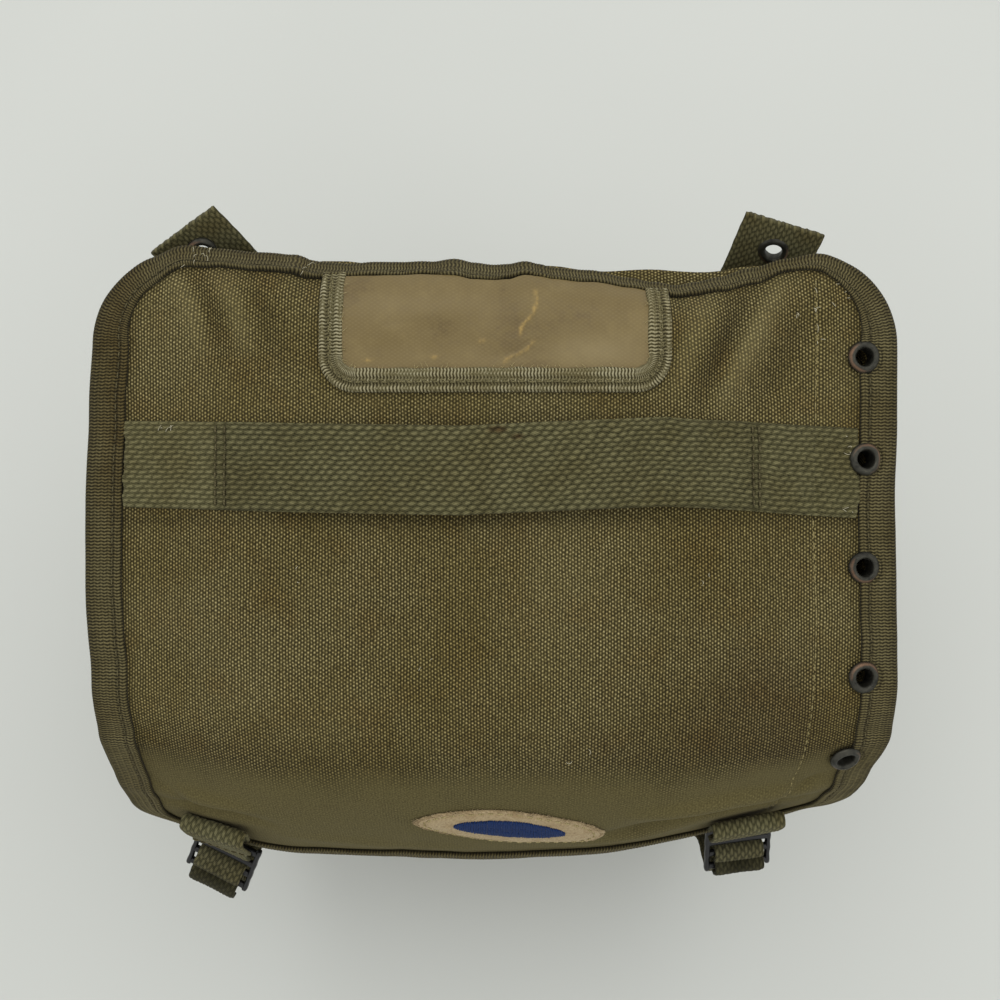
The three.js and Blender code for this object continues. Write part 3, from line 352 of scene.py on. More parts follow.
def strand(bundle, path, radius, sides=6, taper=True):
    """A thin round thread along a path of points."""
    path = np.asarray(path, float)
    tan = unit(np.gradient(path, axis=0))
    ref = np.where(np.abs(tan[:, 2:3]) < 0.8, np.array([[0, 0, 1.0]]), np.array([[1.0, 0, 0]]))
    a = unit(np.cross(tan, ref))
    b = np.cross(tan, a)
    r = np.full(len(path), radius)
    if taper:
        r[0] *= 0.45
        r[-1] *= 0.45
    t = np.arange(sides) / sides * 2 * np.pi
    rings = path[:, None] + r[:, None, None] * (a[:, None] * np.cos(t)[None, :, None] + b[:, None] * np.sin(t)[None, :, None])
    v, q, tr = tube_arrays(rings)
    length = np.concatenate([[0], np.cumsum(np.linalg.norm(np.diff(path, axis=0), axis=1))])
    uv = np.stack([np.repeat(length, sides), np.tile(np.arange(sides) / sides, len(path))], 1)
    bundle.add(v, q, tr, uv)


def stitches(bundle, point, t, length=2.6, gap=0.55, radius=0.30, sink=0.32, wander=0.12):
    """Lock stitches along a line: point(t, h) places distance t at height h on the cloth."""
    total = t[1] - t[0]
    n = max(1, int(round(total / (length + gap))))
    step = total / n
    for k in range(n):
        a = t[0] + k * step + gap / 2
        b = a + step - gap
        w = (hash01(k, 2.0) - 0.5) * 2 * wander
        f = np.linspace(0, 1, 6)
        h = radius * 0.75 - sink * (2 * np.abs(f - 0.5)) ** 4 * 1.9
        strand(bundle, point(a + (b - a) * f, h, w), radius * (0.9 + 0.2 * hash01(k, 5.0)), 6)


# ------------------------------------------------------------------ materials
class Nodes:
    """Small helper round a material's node tree."""
    def __init__(self, name):
        self.m = bpy.data.materials.new(name)
        self.m.use_nodes = True
        self.t = self.m.node_tree
        self.t.nodes.clear()
        self.out = self.t.nodes.new("ShaderNodeOutputMaterial")
        self.bsdf = self.t.nodes.new("ShaderNodeBsdfPrincipled")
        self.link(self.bsdf.outputs[0], self.out.inputs[0])

    def link(self, a, b):
        self.t.links.new(a, b)

    def put(self, node, socket, value):
        s = node.inputs[socket]
        if isinstance(value, bpy.types.NodeSocket):
            self.link(value, s)
        elif isinstance(value, (tuple, list)) and len(value) == 3 and s.type == "RGBA":
            s.default_value = (*value, 1.0)
        else:
            s.default_value = value

    def math(self, op, a, b=None, c=None, clamp=False):
        n = self.t.nodes.new("ShaderNodeMath")
        n.operation = op
        n.use_clamp = clamp
        for i, x in enumerate((a, b, c)):
            if x is not None:
                self.put(n, i, x)
        return n.outputs[0]

    def uv(self, name="cloth"):
        n = self.t.nodes.new("ShaderNodeUVMap")
        n.uv_map = name
        sep = self.t.nodes.new("ShaderNodeSeparateXYZ")
        self.link(n.outputs[0], sep.inputs[0])
        return n.outputs[0], sep.outputs[0], sep.outputs[1]

    def place(self):
        n = self.t.nodes.new("ShaderNodeNewGeometry")
        return n.outputs["Position"]

    def noise(self, vector, scale, detail=3.0, rough=0.55, dim="3D", distortion=0.0):
        n = self.t.nodes.new("ShaderNodeTexNoise")
        n.noise_dimensions = dim
        self.put(n, "Vector", vector)
        n.inputs["Scale"].default_value = scale
        n.inputs["Detail"].default_value = detail
        n.inputs["Roughness"].default_value = rough
        n.inputs["Distortion"].default_value = distortion
        return n.outputs[0]

    def ramp(self, fac, stops, mode="EASE"):
        n = self.t.nodes.new("ShaderNodeValToRGB")
        n.color_ramp.interpolation = mode
        e = n.color_ramp.elements
        while len(e) < len(stops):
            e.new(0.5)
        for el, (p, c) in zip(e, stops):
            el.position = p
            el.color = (*c, 1.0) if len(c) == 3 else c
        self.put(n, 0, fac)
        return n.outputs[0]

    def grey(self, fac, lo, hi, a=0.0, b=1.0, clamp=True):
        n = self.t.nodes.new("ShaderNodeMapRange")
        n.clamp = clamp
        self.put(n, 0, fac)
        for i, x in enumerate((lo, hi, a, b)):
            n.inputs[1 + i].default_value = x
        return n.outputs[0]

    def mix(self, fac, a, b, kind="MIX"):
        n = self.t.nodes.new("ShaderNodeMix")
        n.data_type = "RGBA"
        n.blend_type = kind
        self.put(n, 0, fac)
        self.put(n, 6, a)
        self.put(n, 7, b)
        return n.outputs[2]

    def bump(self, height, distance, strength=1.0, normal=None):
        n = self.t.nodes.new("ShaderNodeBump")
        n.inputs["Strength"].default_value = strength
        n.inputs["Distance"].default_value = distance
        self.put(n, "Height", height)
        if normal is not None:
            self.link(normal, n.inputs["Normal"])
        return n.outputs[0]

    def done(self, color, rough, normal=None, metal=0.0, sheen=0.0, spec=0.3, coat=0.0, coat_rough=0.3):
        b = self.bsdf
        self.put(b, "Base Color", color)
        self.put(b, "Roughness", rough)
        self.put(b, "Metallic", metal)
        b.inputs["Specular IOR Level"].default_value = spec
        if sheen:
            b.inputs["Sheen Weight"].default_value = sheen
            b.inputs["Sheen Roughness"].default_value = 0.6
            b.inputs["Sheen Tint"].default_value = (0.75, 0.70, 0.55, 1)
        if coat:
            b.inputs["Coat Weight"].default_value = coat
            b.inputs["Coat Roughness"].default_value = coat_rough
        if normal is not None:
            self.link(normal, b.inputs["Normal"])
        return self.m


def srgb(r, g, b):
    f = lambda c: (c / 255) / 12.92 if c / 255 <= 0.04045 else ((c / 255 + 0.055) / 1.055) ** 2.4
    return (f(r), f(g), f(b))


WEAVE = (0.888, 0.574)         # pitch of the canvas across and along (mm)


def canvas_material(name, masks=True):
    """Plain-weave duck: staggered light floats in columns over dark gaps, uneven yarns, stains and wear; painted shade
    in the fold valleys, painted highlight on the fold ridges, painted shade beside the tapes and under the handle, and
    darker towards the lid's front edge.
    """
    k = Nodes(name)
    vec, x, y = k.uv()
    wob = k.noise(vec, 0.16, 2.0, 0.5, "2D")
    wob2 = k.noise(vec, 0.9, 2.0, 0.6, "2D")
    px = k.math("ADD", k.math("MULTIPLY_ADD", wob, 0.6, k.math("MULTIPLY", wob2, 0.16)), x)
    py = k.math("ADD", k.math("MULTIPLY_ADD", wob, -0.5, k.math("MULTIPLY", wob2, 0.14)), y)
    cx = k.math("COSINE", k.math("MULTIPLY", px, math.pi / WEAVE[0]))
    cy = k.math("COSINE", k.math("MULTIPLY", py, math.pi / WEAVE[1]))
    c = k.math("MULTIPLY", cx, cy)
    ridge = k.math("COSINE", k.math("MULTIPLY", px, 2 * math.pi / WEAVE[0]))
    c = k.math("MULTIPLY_ADD", ridge, 0.38, k.math("MULTIPLY", c, 0.55))
    yarn = k.noise(vec, 1.1, 3.0, 0.65, "2D")
    fibre = k.noise(vec, 5.0, 2.0, 0.7, "2D")
    speck = k.grey(k.math("ADD", c, k.math("MULTIPLY_ADD", yarn, 1.5, -0.75)), -0.55, 0.95)
    body = k.ramp(speck, [(0.0, srgb(43, 38, 20)), (0.33, srgb(75, 67, 40)), (0.70, srgb(116, 106, 68)), (1.0, srgb(172, 160, 116))])
    # broad changes of tone: greener where less worn, browner where handled
    broad = k.noise(vec, 0.022, 4.0, 0.55, "2D")
    body = k.mix(k.grey(broad, 0.35, 0.68, 0.0, 0.75), body, k.mix(1.0, body, srgb(228, 222, 196), "MULTIPLY"))
    patchy = k.noise(vec, 0.07, 3.0, 0.6, "2D")
    body = k.mix(k.grey(patchy, 0.48, 0.72, 0.0, 0.40), body, k.mix(1.0, body, srgb(238, 220, 194), "MULTIPLY"))
    body = k.mix(k.grey(k.noise(vec, 0.35, 3.0, 0.6, "2D"), 0.40, 0.75, 0.0, 0.35), body, k.mix(1.0, body, srgb(190, 186, 172), "MULTIPLY"))
    worn = 0.0
    if masks:
        _, stain, wear = k.uv("mask")
        _, fold, low = k.uv("fold")
        # painted shade in the fold valleys and painted highlight on the fold ridges, from the relief in the fold layer
        body = k.mix(k.grey(fold, 0.5, 0.0, 0.0, 0.62), body, k.mix(1.0, body, srgb(126, 120, 104), "MULTIPLY"))
        body = k.mix(k.grey(fold, 0.5, 1.0, 0.0, 0.55), body, k.mix(0.45, body, srgb(150, 140, 98)))
        # painted shadow under the handle's front edge, painted shade beside the side and back tapes, and darker towards
        # the lid's front edge
        body = k.mix(k.math("MULTIPLY", low, 0.95), body, k.mix(1.0, body, srgb(186, 184, 174), "MULTIPLY"))
        ragged = k.math("ADD", stain, k.math("MULTIPLY_ADD", k.noise(vec, 0.10, 4.0, 0.65, "2D"), 0.7, -0.35))
        body = k.mix(k.grey(ragged, 0.15, 0.95, 0.0, 0.50), body, k.mix(1.0, body, srgb(184, 170, 164), "MULTIPLY"))
        worn = k.grey(k.math("ADD", wear, k.math("MULTIPLY_ADD", patchy, 0.6, -0.3)), 0.3, 0.9)
        rubbed = k.ramp(k.noise(vec, 1.6, 3.0, 0.7, "2D"), [(0.3, srgb(72, 65, 38)), (0.7, srgb(96, 88, 55))])
        body = k.mix(k.math("MULTIPLY", worn, 0.86), body, rubbed)
    height = k.math("MULTIPLY_ADD", fibre, 0.22, k.math("MULTIPLY", k.math("ABSOLUTE", c), 1.0))
    if masks:
        height = k.math("MULTIPLY", height, k.math("MULTIPLY_ADD", worn, -0.6, 1.0))
    normal = k.bump(height, 0.00022, 0.55)
    rough = k.grey(fibre, 0.2, 0.8, 0.84, 0.97)
    return k.done(body, rough, normal, sheen=0.05, spec=0.10)


def web_material(name, dark, mid, light, brown, bead=0.0):
    """Cotton webbing: the yarns are in the mesh, and the fibres and the dirt between them here; on the straps the
    second mask channel also carries painted shade on the turned tail.
    """
    k = Nodes(name)
    vec, x, y = k.uv()
    _, high, dirt_and_shade = k.uv("mask")
    fib = k.noise(vec, 2.6, 3.0, 0.7, "2D")
    stre = k.t.nodes.new("ShaderNodeMapping")
    stre.inputs["Scale"].default_value = (0.5, 3.0, 1.0)
    k.link(vec, stre.inputs["Vector"])
    hair = k.noise(stre.outputs[0], 2.4, 3.0, 0.7, "2D")
    tone = k.math("ADD", k.math("MULTIPLY_ADD", hair, 0.55, -0.27), high)
    if bead:
        tone = k.math("MULTIPLY_ADD", k.math("COSINE", k.math("MULTIPLY", y, 2 * math.pi / bead)), 0.07, tone)
        # the ribs lean to and fro across the tape
        lean = k.math("MULTIPLY_ADD", k.math("PINGPONG", y, 1.05), 2.6, k.math("MULTIPLY", fib, 3.0))
        tone = k.math("MULTIPLY_ADD", k.math("SINE", k.math("MULTIPLY_ADD", x, 2 * math.pi / 0.98, lean)), 0.30, tone)
    else:
        turn = k.math("ADD", k.math("MULTIPLY_ADD", x, 4.4, k.math("MULTIPLY", y, 11.0)), k.math("MULTIPLY", fib, 7.0))
        tone = k.math("MULTIPLY_ADD", k.math("SINE", turn), 0.15, tone)
    col = k.ramp(tone, [(0.0, dark), (0.42, mid), (1.0, light)])
    broad = k.noise(vec, 0.05, 4.0, 0.6, "2D")
    col = k.mix(k.grey(broad, 0.38, 0.70, 0.0, 0.45), col, k.mix(1.0, col, srgb(214, 204, 178), "MULTIPLY"))
    # second channel: dirt, and on the straps also painted shade on the turned tail
    mess = k.grey(k.math("ADD", dirt_and_shade, k.math("MULTIPLY_ADD", k.noise(vec, 0.16, 4.0, 0.6, "2D"), 0.8, -0.4)), 0.25, 0.9)
    col = k.mix(k.math("MULTIPLY", mess, 0.7), col, k.mix(1.0, col, brown, "MULTIPLY"))
    normal = k.bump(k.math("MULTIPLY_ADD", fib, 0.5, hair), 0.00014, 0.5)
    return k.done(col, k.grey(fib, 0.2, 0.8, 0.84, 0.97), normal, sheen=0.06, spec=0.10)


def thread_material(name, a, b):
    k = Nodes(name)
    vec, x, y = k.uv()
    ply = k.math("SINE", k.math("MULTIPLY_ADD", x, 9.0, k.math("MULTIPLY", y, 6.283)))
    n = k.noise(k.place(), 900.0, 2.0)
    col = k.mix(k.grey(k.math("MULTIPLY_ADD", ply, 0.25, n), 0.2, 0.9), a, b)
    return k.done(col, 0.85, k.bump(ply, 0.00008, 0.5), spec=0.2)


CANVAS = canvas_material("canvas_duck")
TAPE = web_material("binding_tape", srgb(26, 23, 13), srgb(66, 60, 38), srgb(112, 104, 72), srgb(206, 190, 156), bead=1.1)
WINDOW_TAPE = web_material("window_tape", srgb(44, 40, 25), srgb(92, 86, 59), srgb(158, 152, 124), srgb(220, 206, 176), bead=1.1)
WEB = web_material("cotton_webbing", srgb(22, 21, 11), srgb(72, 69, 45), srgb(120, 115, 82), srgb(158, 108, 72))
WEB_DARK = web_material("buckle_webbing", srgb(26, 25, 15), srgb(66, 64, 43), srgb(107, 103, 74), srgb(220, 206, 176))
STRAP = web_material("strap_webbing", srgb(22, 22, 13), srgb(58, 56, 39), srgb(98, 94, 68), srgb(150, 152, 134))
THREAD = thread_material("olive_thread", srgb(84, 78, 52), srgb(126, 118, 84))
THREAD_TAPE = thread_material("tape_thread", srgb(66, 60, 39), srgb(101, 94, 66))
THREAD_SEAM = thread_material("seam_thread", srgb(104, 95, 60), srgb(150, 138, 96))
LINT = thread_material("lint", srgb(158, 152, 126), srgb(206, 200, 176))
THREAD_PALE = thread_material("pale_thread", srgb(128, 116, 78), srgb(182, 168, 124))


def brass_material():
    k = Nodes("blackened_brass")
    pos = k.place()
    _, ring, edge = k.uv("mask")
    n = k.noise(pos, 420.0, 5.0, 0.65)
    col = k.ramp(n, [(0.25, srgb(34, 34, 31)), (0.6, srgb(62, 61, 54)), (0.85, srgb(92, 88, 76))])
    rub = k.grey(k.math("ADD", edge, k.math("MULTIPLY_ADD", k.noise(pos, 260.0, 3.0, 0.6), 1.1, -0.62)), 0.35, 0.95)
    col = k.mix(k.math("MULTIPLY", rub, 0.75), col, srgb(128, 98, 76))
    rough = k.grey(n, 0.25, 0.8, 0.55, 0.32)
    return k.done(col, rough, k.bump(n, 0.00006, 0.4), metal=0.72, spec=0.4)


def enamel_material():
    k = Nodes("black_enamel")
    pos = k.place()
    n = k.noise(pos, 300.0, 4.0, 0.6)
    chips = k.grey(k.noise(pos, 520.0, 5.0, 0.75), 0.66, 0.72)
    col = k.mix(chips, k.ramp(n, [(0.3, srgb(9, 9, 10)), (0.75, srgb(22, 22, 23))]), srgb(70, 67, 62))
    return k.done(col, k.grey(n, 0.3, 0.8, 0.26, 0.45), k.bump(n, 0.00005, 0.35), metal=0.0, spec=0.32, coat=0.10, coat_rough=0.2)


def pane_material():
    """Aged clear sheet over canvas: cloudy tan, a faint weave behind it, bruises and a yellow crack."""
    k = Nodes("aged_clear_sheet")
    vec, x, y = k.uv()
    _, crack, haze = k.uv("mask")
    c = k.math("MULTIPLY", k.math("COSINE", k.math("MULTIPLY", x, math.pi / WEAVE[0])), k.math("COSINE", k.math("MULTIPLY", y, math.pi / WEAVE[1])))
    cloud = k.noise(vec, 0.055, 4.0, 0.6, "2D")
    mott = k.noise(vec, 0.5, 4.0, 0.65, "2D")
    base = k.ramp(k.math("MULTIPLY_ADD", mott, 0.30, k.math("MULTIPLY", cloud, 0.7)),
                  [(0.28, srgb(94, 78, 45)), (0.5, srgb(106, 90, 53)), (0.68, srgb(113, 97, 59)), (0.85, srgb(119, 103, 65))])
    base = k.mix(k.grey(c, -0.2, 1.0, 0.0, 0.16), base, srgb(150, 134, 92))
    base = k.mix(k.math("MULTIPLY", haze, 0.40), base, srgb(146, 132, 98))
    base = k.mix(k.math("MULTIPLY", crack, k.grey(mott, 0.35, 0.65, 0.15, 0.75)), base, srgb(190, 158, 88))
    normal = k.bump(k.math("MULTIPLY_ADD", mott, 0.6, k.math("MULTIPLY", crack, 1.6)), 0.00025, 0.35)
    return k.done(base, k.grey(mott, 0.3, 0.75, 0.34, 0.55), normal, spec=0.26, coat=0.06, coat_rough=0.35)


def felt_material():
    k = Nodes("tan_felt")
    vec, x, y = k.uv()
    n = k.noise(vec, 1.3, 5.0, 0.75, "2D")
    m = k.noise(vec, 0.2, 3.0, 0.6, "2D")
    col = k.ramp(n, [(0.25, srgb(124, 104, 76)), (0.55, srgb(160, 141, 108)), (0.8, srgb(186, 170, 138))])
    col = k.mix(k.grey(m, 0.45, 0.75, 0.0, 0.5), col, k.mix(1.0, col, srgb(214, 196, 170), "MULTIPLY"))
    return k.done(col, 0.95, k.bump(n, 0.0004, 0.6), sheen=0.25, spec=0.1)


def blue_material():
    k = Nodes("blue_thread")
    vec, x, y = k.uv()
    n = k.noise(vec, 2.2, 4.0, 0.7, "2D")
    col = k.ramp(n, [(0.25, srgb(12, 28, 60)), (0.6, srgb(20, 46, 94)), (0.85, srgb(38, 68, 118))])
    return k.done(col, 0.8, k.bump(n, 0.0002, 0.5), sheen=0.04, spec=0.15)


BRASS, ENAMEL, PANE, FELT, BLUE = brass_material(), enamel_material(), pane_material(), felt_material(), blue_material()


# ------------------------------------------------------------------ runs and webbing
def spline(points, step, extra=None):
    """A smooth run through some points at an even step. Other columns come along unsmoothed."""
    p = np.asarray(points, float)
    t = np.concatenate([[0], np.cumsum(np.linalg.norm(np.diff(p, axis=0), axis=1))])
    m = np.gradient(p, t, axis=0)
    dense = np.linspace(0, t[-1], max(8, int(t[-1] / (step * 0.25))))
    def at(x):
        i = np.clip(np.searchsorted(t, x, side="right") - 1, 0, len(t) - 2)
        d = (t[i + 1] - t[i])[:, None]
        f = ((x - t[i])[:, None]) / d
        return ((2 * f ** 3 - 3 * f ** 2 + 1) * p[i] + (f ** 3 - 2 * f ** 2 + f) * d * m[i]
                + (-2 * f ** 3 + 3 * f ** 2) * p[i + 1] + (f ** 3 - f ** 2) * d * m[i + 1])
    fine_run = at(dense)
    arc = np.concatenate([[0], np.cumsum(np.linalg.norm(np.diff(fine_run, axis=0), axis=1))])
    want = np.linspace(0, arc[-1], max(6, int(round(arc[-1] / step)) + 1))
    x = np.interp(want, arc, dense)
    out = at(x)
    more = [np.stack([np.interp(x, t, np.asarray(e, float)[:, c]) for c in range(np.asarray(e).shape[1])], 1) for e in (extra or [])]
    return out, want, more


def leaf(x, y, row, length, slant=0.35):
    """Rows of long bumps, each row half a bump along from the next."""
    j = np.floor(y / row)
    f = y / row - j - 0.5
    ph = 0.5 * np.mod(j, 2) + slant * f * np.where(np.mod(j, 2) < 1, 1, -1)
    a = np.abs(np.cos(np.pi * (x / length + ph)))
    return a ** 0.75 * np.cos(np.pi * f * 0.96) ** 0.7


def ribbon(name, points, side, width, thick, row=1.9, length=3.0, amp=0.42, step=0.42, across=0.34, material=None,
           slot="webbing", dirt_and_shade=None, hole=None, wave=0.25, seed=1.0, flip=1.0, fray=0.0, shade=None):
    """Woven webbing along a run. side is the direction across it at each point."""
    w = np.broadcast_to(np.asarray(width, float), (len(points),))
    path, run, (sd, wd) = spline(points, step, [side, w[:, None]])
    tan = unit(np.gradient(path, axis=0))
    sd = unit(sd - tan * (sd * tan).sum(1, keepdims=True))
    face = np.cross(sd, tan) * flip
    ny = int(round(wd.max() / across)) + 1
    y = np.linspace(-0.5, 0.5, ny)
    Y = y[None, :] * wd
    X = np.broadcast_to(run[:, None], Y.shape)
    ripple = wave * fbm(X / 9.0, Y / 8.0, seed, 2)
    if fray:
        tip = soft((X - run[-1] + 2.5) / 2.5)
        ripple = ripple + fray * tip * noise2(Y / 0.7, X / 3.0, seed + 4)
    edge = 1 - 0.55 * np.abs(2 * y[None, :]) ** 14
    up = leaf(X, Y + 0.5 * wd.max(), row, length)
    dn = leaf(X + 0.5 * length, Y + 0.5 * wd.max(), row, length)
    base = path[:, None] + sd[:, None] * (Y + 0.10 * noise2(X / 2.0, np.sign(Y) * 5, seed + 2) * np.abs(2 * y[None, :]) ** 6)[..., None]
    top = base + face[:, None] * ((thick / 2 - amp * 0.6) * edge + amp * up * edge + ripple)[..., None]
    bot = base - face[:, None] * ((thick / 2 - amp * 0.6) * edge + amp * dn * edge - ripple)[..., None]
    # second mask channel: dirt, and on the straps also painted shade past the turn
    D = np.zeros_like(Y) if dirt_and_shade is None else dirt_and_shade(X, Y)
    high = 0.22 + 0.78 * up
    mask = np.stack([high if shade is None else high * (1 - shade(X)), D], -1)
    keep = None
    if hole is not None:
        xc, yc = (X[:-1, :-1] + X[1:, 1:]) / 2, (Y[:-1, :-1] + Y[1:, 1:]) / 2
        keep = ~hole(xc, yc)
    ob = slab(name, top, bot, np.stack([X, Y], -1), keep, {"mask": mask}, material=material or WEB, slot=slot, sharp=0)
    return ob, (path, run, sd, face, wd)


def on_ribbon(r, x, y, h):
    """A point on a ribbon, at a distance along it, a place across it and a height over its middle."""
    path, run, sd, face, wd = r
    f = lambda a: np.stack([np.interp(x, run, a[:, c]) for c in range(3)], -1)
    return f(path) + f(sd) * np.asarray(y)[..., None] + f(face) * np.asarray(h)[..., None]


# ------------------------------------------------------------------ lid: canvas
def cloth_half(s, right):
    r, q, end = REAR_R, FRONT_R, LID_LENGTH
    base = half_width(s, right)
    back = half_width(np.full_like(s, r), right) - r + np.sqrt(np.maximum(0, r * r - (r - s) ** 2))
    front = half_width(np.full_like(s, end - q), right) - q + np.sqrt(np.maximum(0, q * q - (s - end + q) ** 2))
    return np.where(s < r, back, np.where(s > end - q, front, base))


def mark(u, s, cu, cs, ru, rs, turn=0.0):
    c, e = math.cos(math.radians(turn)), math.sin(math.radians(turn))
    x, y = ((u - cu) * c + (s - cs) * e) / ru, ((s - cs) * c - (u - cu) * e) / rs
    return np.exp(-(x * x + y * y))


def lid_masks(U, S):
    stain = 0.9 * mark(U, S, 74, 136, 24, 20, -20) + 0.6 * mark(U, S, 90, 152, 16, 24) + 0.4 * mark(U, S, 40, 150, 40, 12) + 0.35 * mark(U, S, -70, 150, 26, 14) \
        + 0.45 * mark(U, S, 84, 30, 10, 20, 20)
    wear = 0.9 * soft((S - 146) / 22) + 0.35 * mark(U, S, -30, 45, 40, 9)
    return np.stack([np.clip(stain, 0, 1.2), np.clip(wear, 0, 1)], -1)


def lid_painted_shade(U, S):
    # painted shade and highlight: the fold relief, lighter on the ridges and darker in the valleys
    up = 0.24 * creased(U, S) + 0.16 * rumpled(U, S)
    # second channel: painted shadow under the handle's front edge, painted shade beside the side and back tapes, and
    # darker towards the lid's front edge
    low = 0.72 * soft((S - 138) / 30) + 0.35 * np.exp(-((half_width(S, U > 0) - BIND_W - np.abs(U)) / 3.0) ** 2) \
        + 0.5 * np.exp(-((S - HANDLE["s1"] - 1.5) / 2.2) ** 2) + 0.3 * np.exp(-((S - drawn_in(U) - back_tape(U)) / 3.0) ** 2)
    return np.stack([np.clip(0.5 + up, 0, 1), np.clip(low, 0, 1)], -1)


def build_lid():
    rows = np.concatenate([np.linspace(0, 1, 6)[:-1] ** 1.6 * 6, np.linspace(6, 212, 152), 212 + 6 * (1 - (1 - np.linspace(0, 1, 6)[1:]) ** 1.6)])
    cols = np.linspace(-1, 1, 173)
    R = rows[:, None]
    A = np.broadcast_to(cols[None, :], (len(rows), len(cols)))
    half = np.where(A > 0, cloth_half(R + 0 * A, A > 0), cloth_half(R + 0 * A, np.zeros_like(A, bool)))
    U = A * (half - 1.0)
    S = R + (3.0 + drawn_in(U) * np.maximum(0, 1 - R / 60)) * (1 - R / LID_LENGTH) - 1.0 * R / LID_LENGTH
    n = lid_normal(U, S)
    mid = lid_mid(U, S)
    uc, sc = (U[:-1, :-1] + U[1:, 1:]) / 2, (S[:-1, :-1] + S[1:, 1:]) / 2
    keep = np.ones_like(uc, bool)
    for (eu, es) in EYELETS:
        keep &= np.hypot(uc - eu, sc - es) > 4.05
    ob = slab("lid_canvas", mid + n * CLOTH, mid - n * CLOTH, np.stack([U, S], -1), keep, {"mask": lid_masks(U, S), "fold": lid_painted_shade(U, S)},
              material=CANVAS, slot="canvas", sharp=60)
    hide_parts("lid")
    return ob


# ------------------------------------------------------------------ lid: binding
def outline():
    r, q, end = REAR_R, FRONT_R, LID_LENGTH
    one = lambda f, s, right: float(f(np.array(s, float), np.array(right)))
    backL, backR = -(one(half_width, r, False) - r), one(half_width, r, True) - r
    hemL, hemR = -(one(half_width, end - q, False) - q), one(half_width, end - q, True) - q
    out = []
    def corner(cu, cs, rad, start, t0, t1, n=40):
        for k in range(n + 1):
            t = math.radians(start + 90 * k / n)
            x, y = math.cos(t), math.sin(t)
            draw = float(drawn_in(cu + rad * x)) * max(0.0, -y) if cs < 60 else 0.0
            out.append((cu + rad * x, cs + rad * y + draw, -x, -y, t0 + (t1 - t0) * k / n))
    for u in np.linspace(backL, backR, 402)[1:-1]:
        out.append((u, float(drawn_in(u)), 0, 1, float(back_tape(u))))
    corner(backR, r, r, -90, float(back_tape(backR)), BIND_W)
    for s in np.linspace(r, end - q, 302)[1:-1]:
        out.append((one(half_width, s, True), s, -1, 0, BIND_W))
    corner(hemR, end - q, q, 0, BIND_W, HEM_W)
    for u in np.linspace(hemR, hemL, 302)[1:-1]:
        out.append((u, end, 0, -1, HEM_W))
    corner(hemL, end - q, q, 90, HEM_W, BIND_W)
    for s in np.linspace(end - q, r, 302)[1:-1]:
        out.append((-one(half_width, s, False), s, 1, 0, BIND_W))
    corner(backL, r, r, 180, BIND_W, float(back_tape(backL)))
    o = np.array(out)
    o = np.concatenate([o, o[:1]])
    d = np.hypot(np.diff(o[:, 0]), np.diff(o[:, 1]))
    arc = np.concatenate([[0], np.cumsum(d)])
    return o, arc


OUT, OUT_ARC = outline()
TAPE_IN, TAPE_OUT = 0.95, 2.0


def edge_at(t):
    """Outline of the lid at a distance round it: place, way inwards, tape width and how much it is the back edge."""
    t = np.mod(t, OUT_ARC[-1])
    c = [np.interp(t, OUT_ARC, OUT[:, k]) for k in range(5)]
    n = np.hypot(c[2], c[3])
    back = soft((c[3] / n - 0.75) / 0.25)
    return c[0], c[1], c[2] / n, c[3] / n, c[4], back


def tape_wave(u, back):
    """The back tape lies in uneven waves."""
    return back * (0.22 * fbm(u / 13.0, u * 0, 21.0, 2) + 0.12 * np.sin(u / 3.1 + 2 * noise2(u / 20.0, u * 0 + 2, 3.0)))


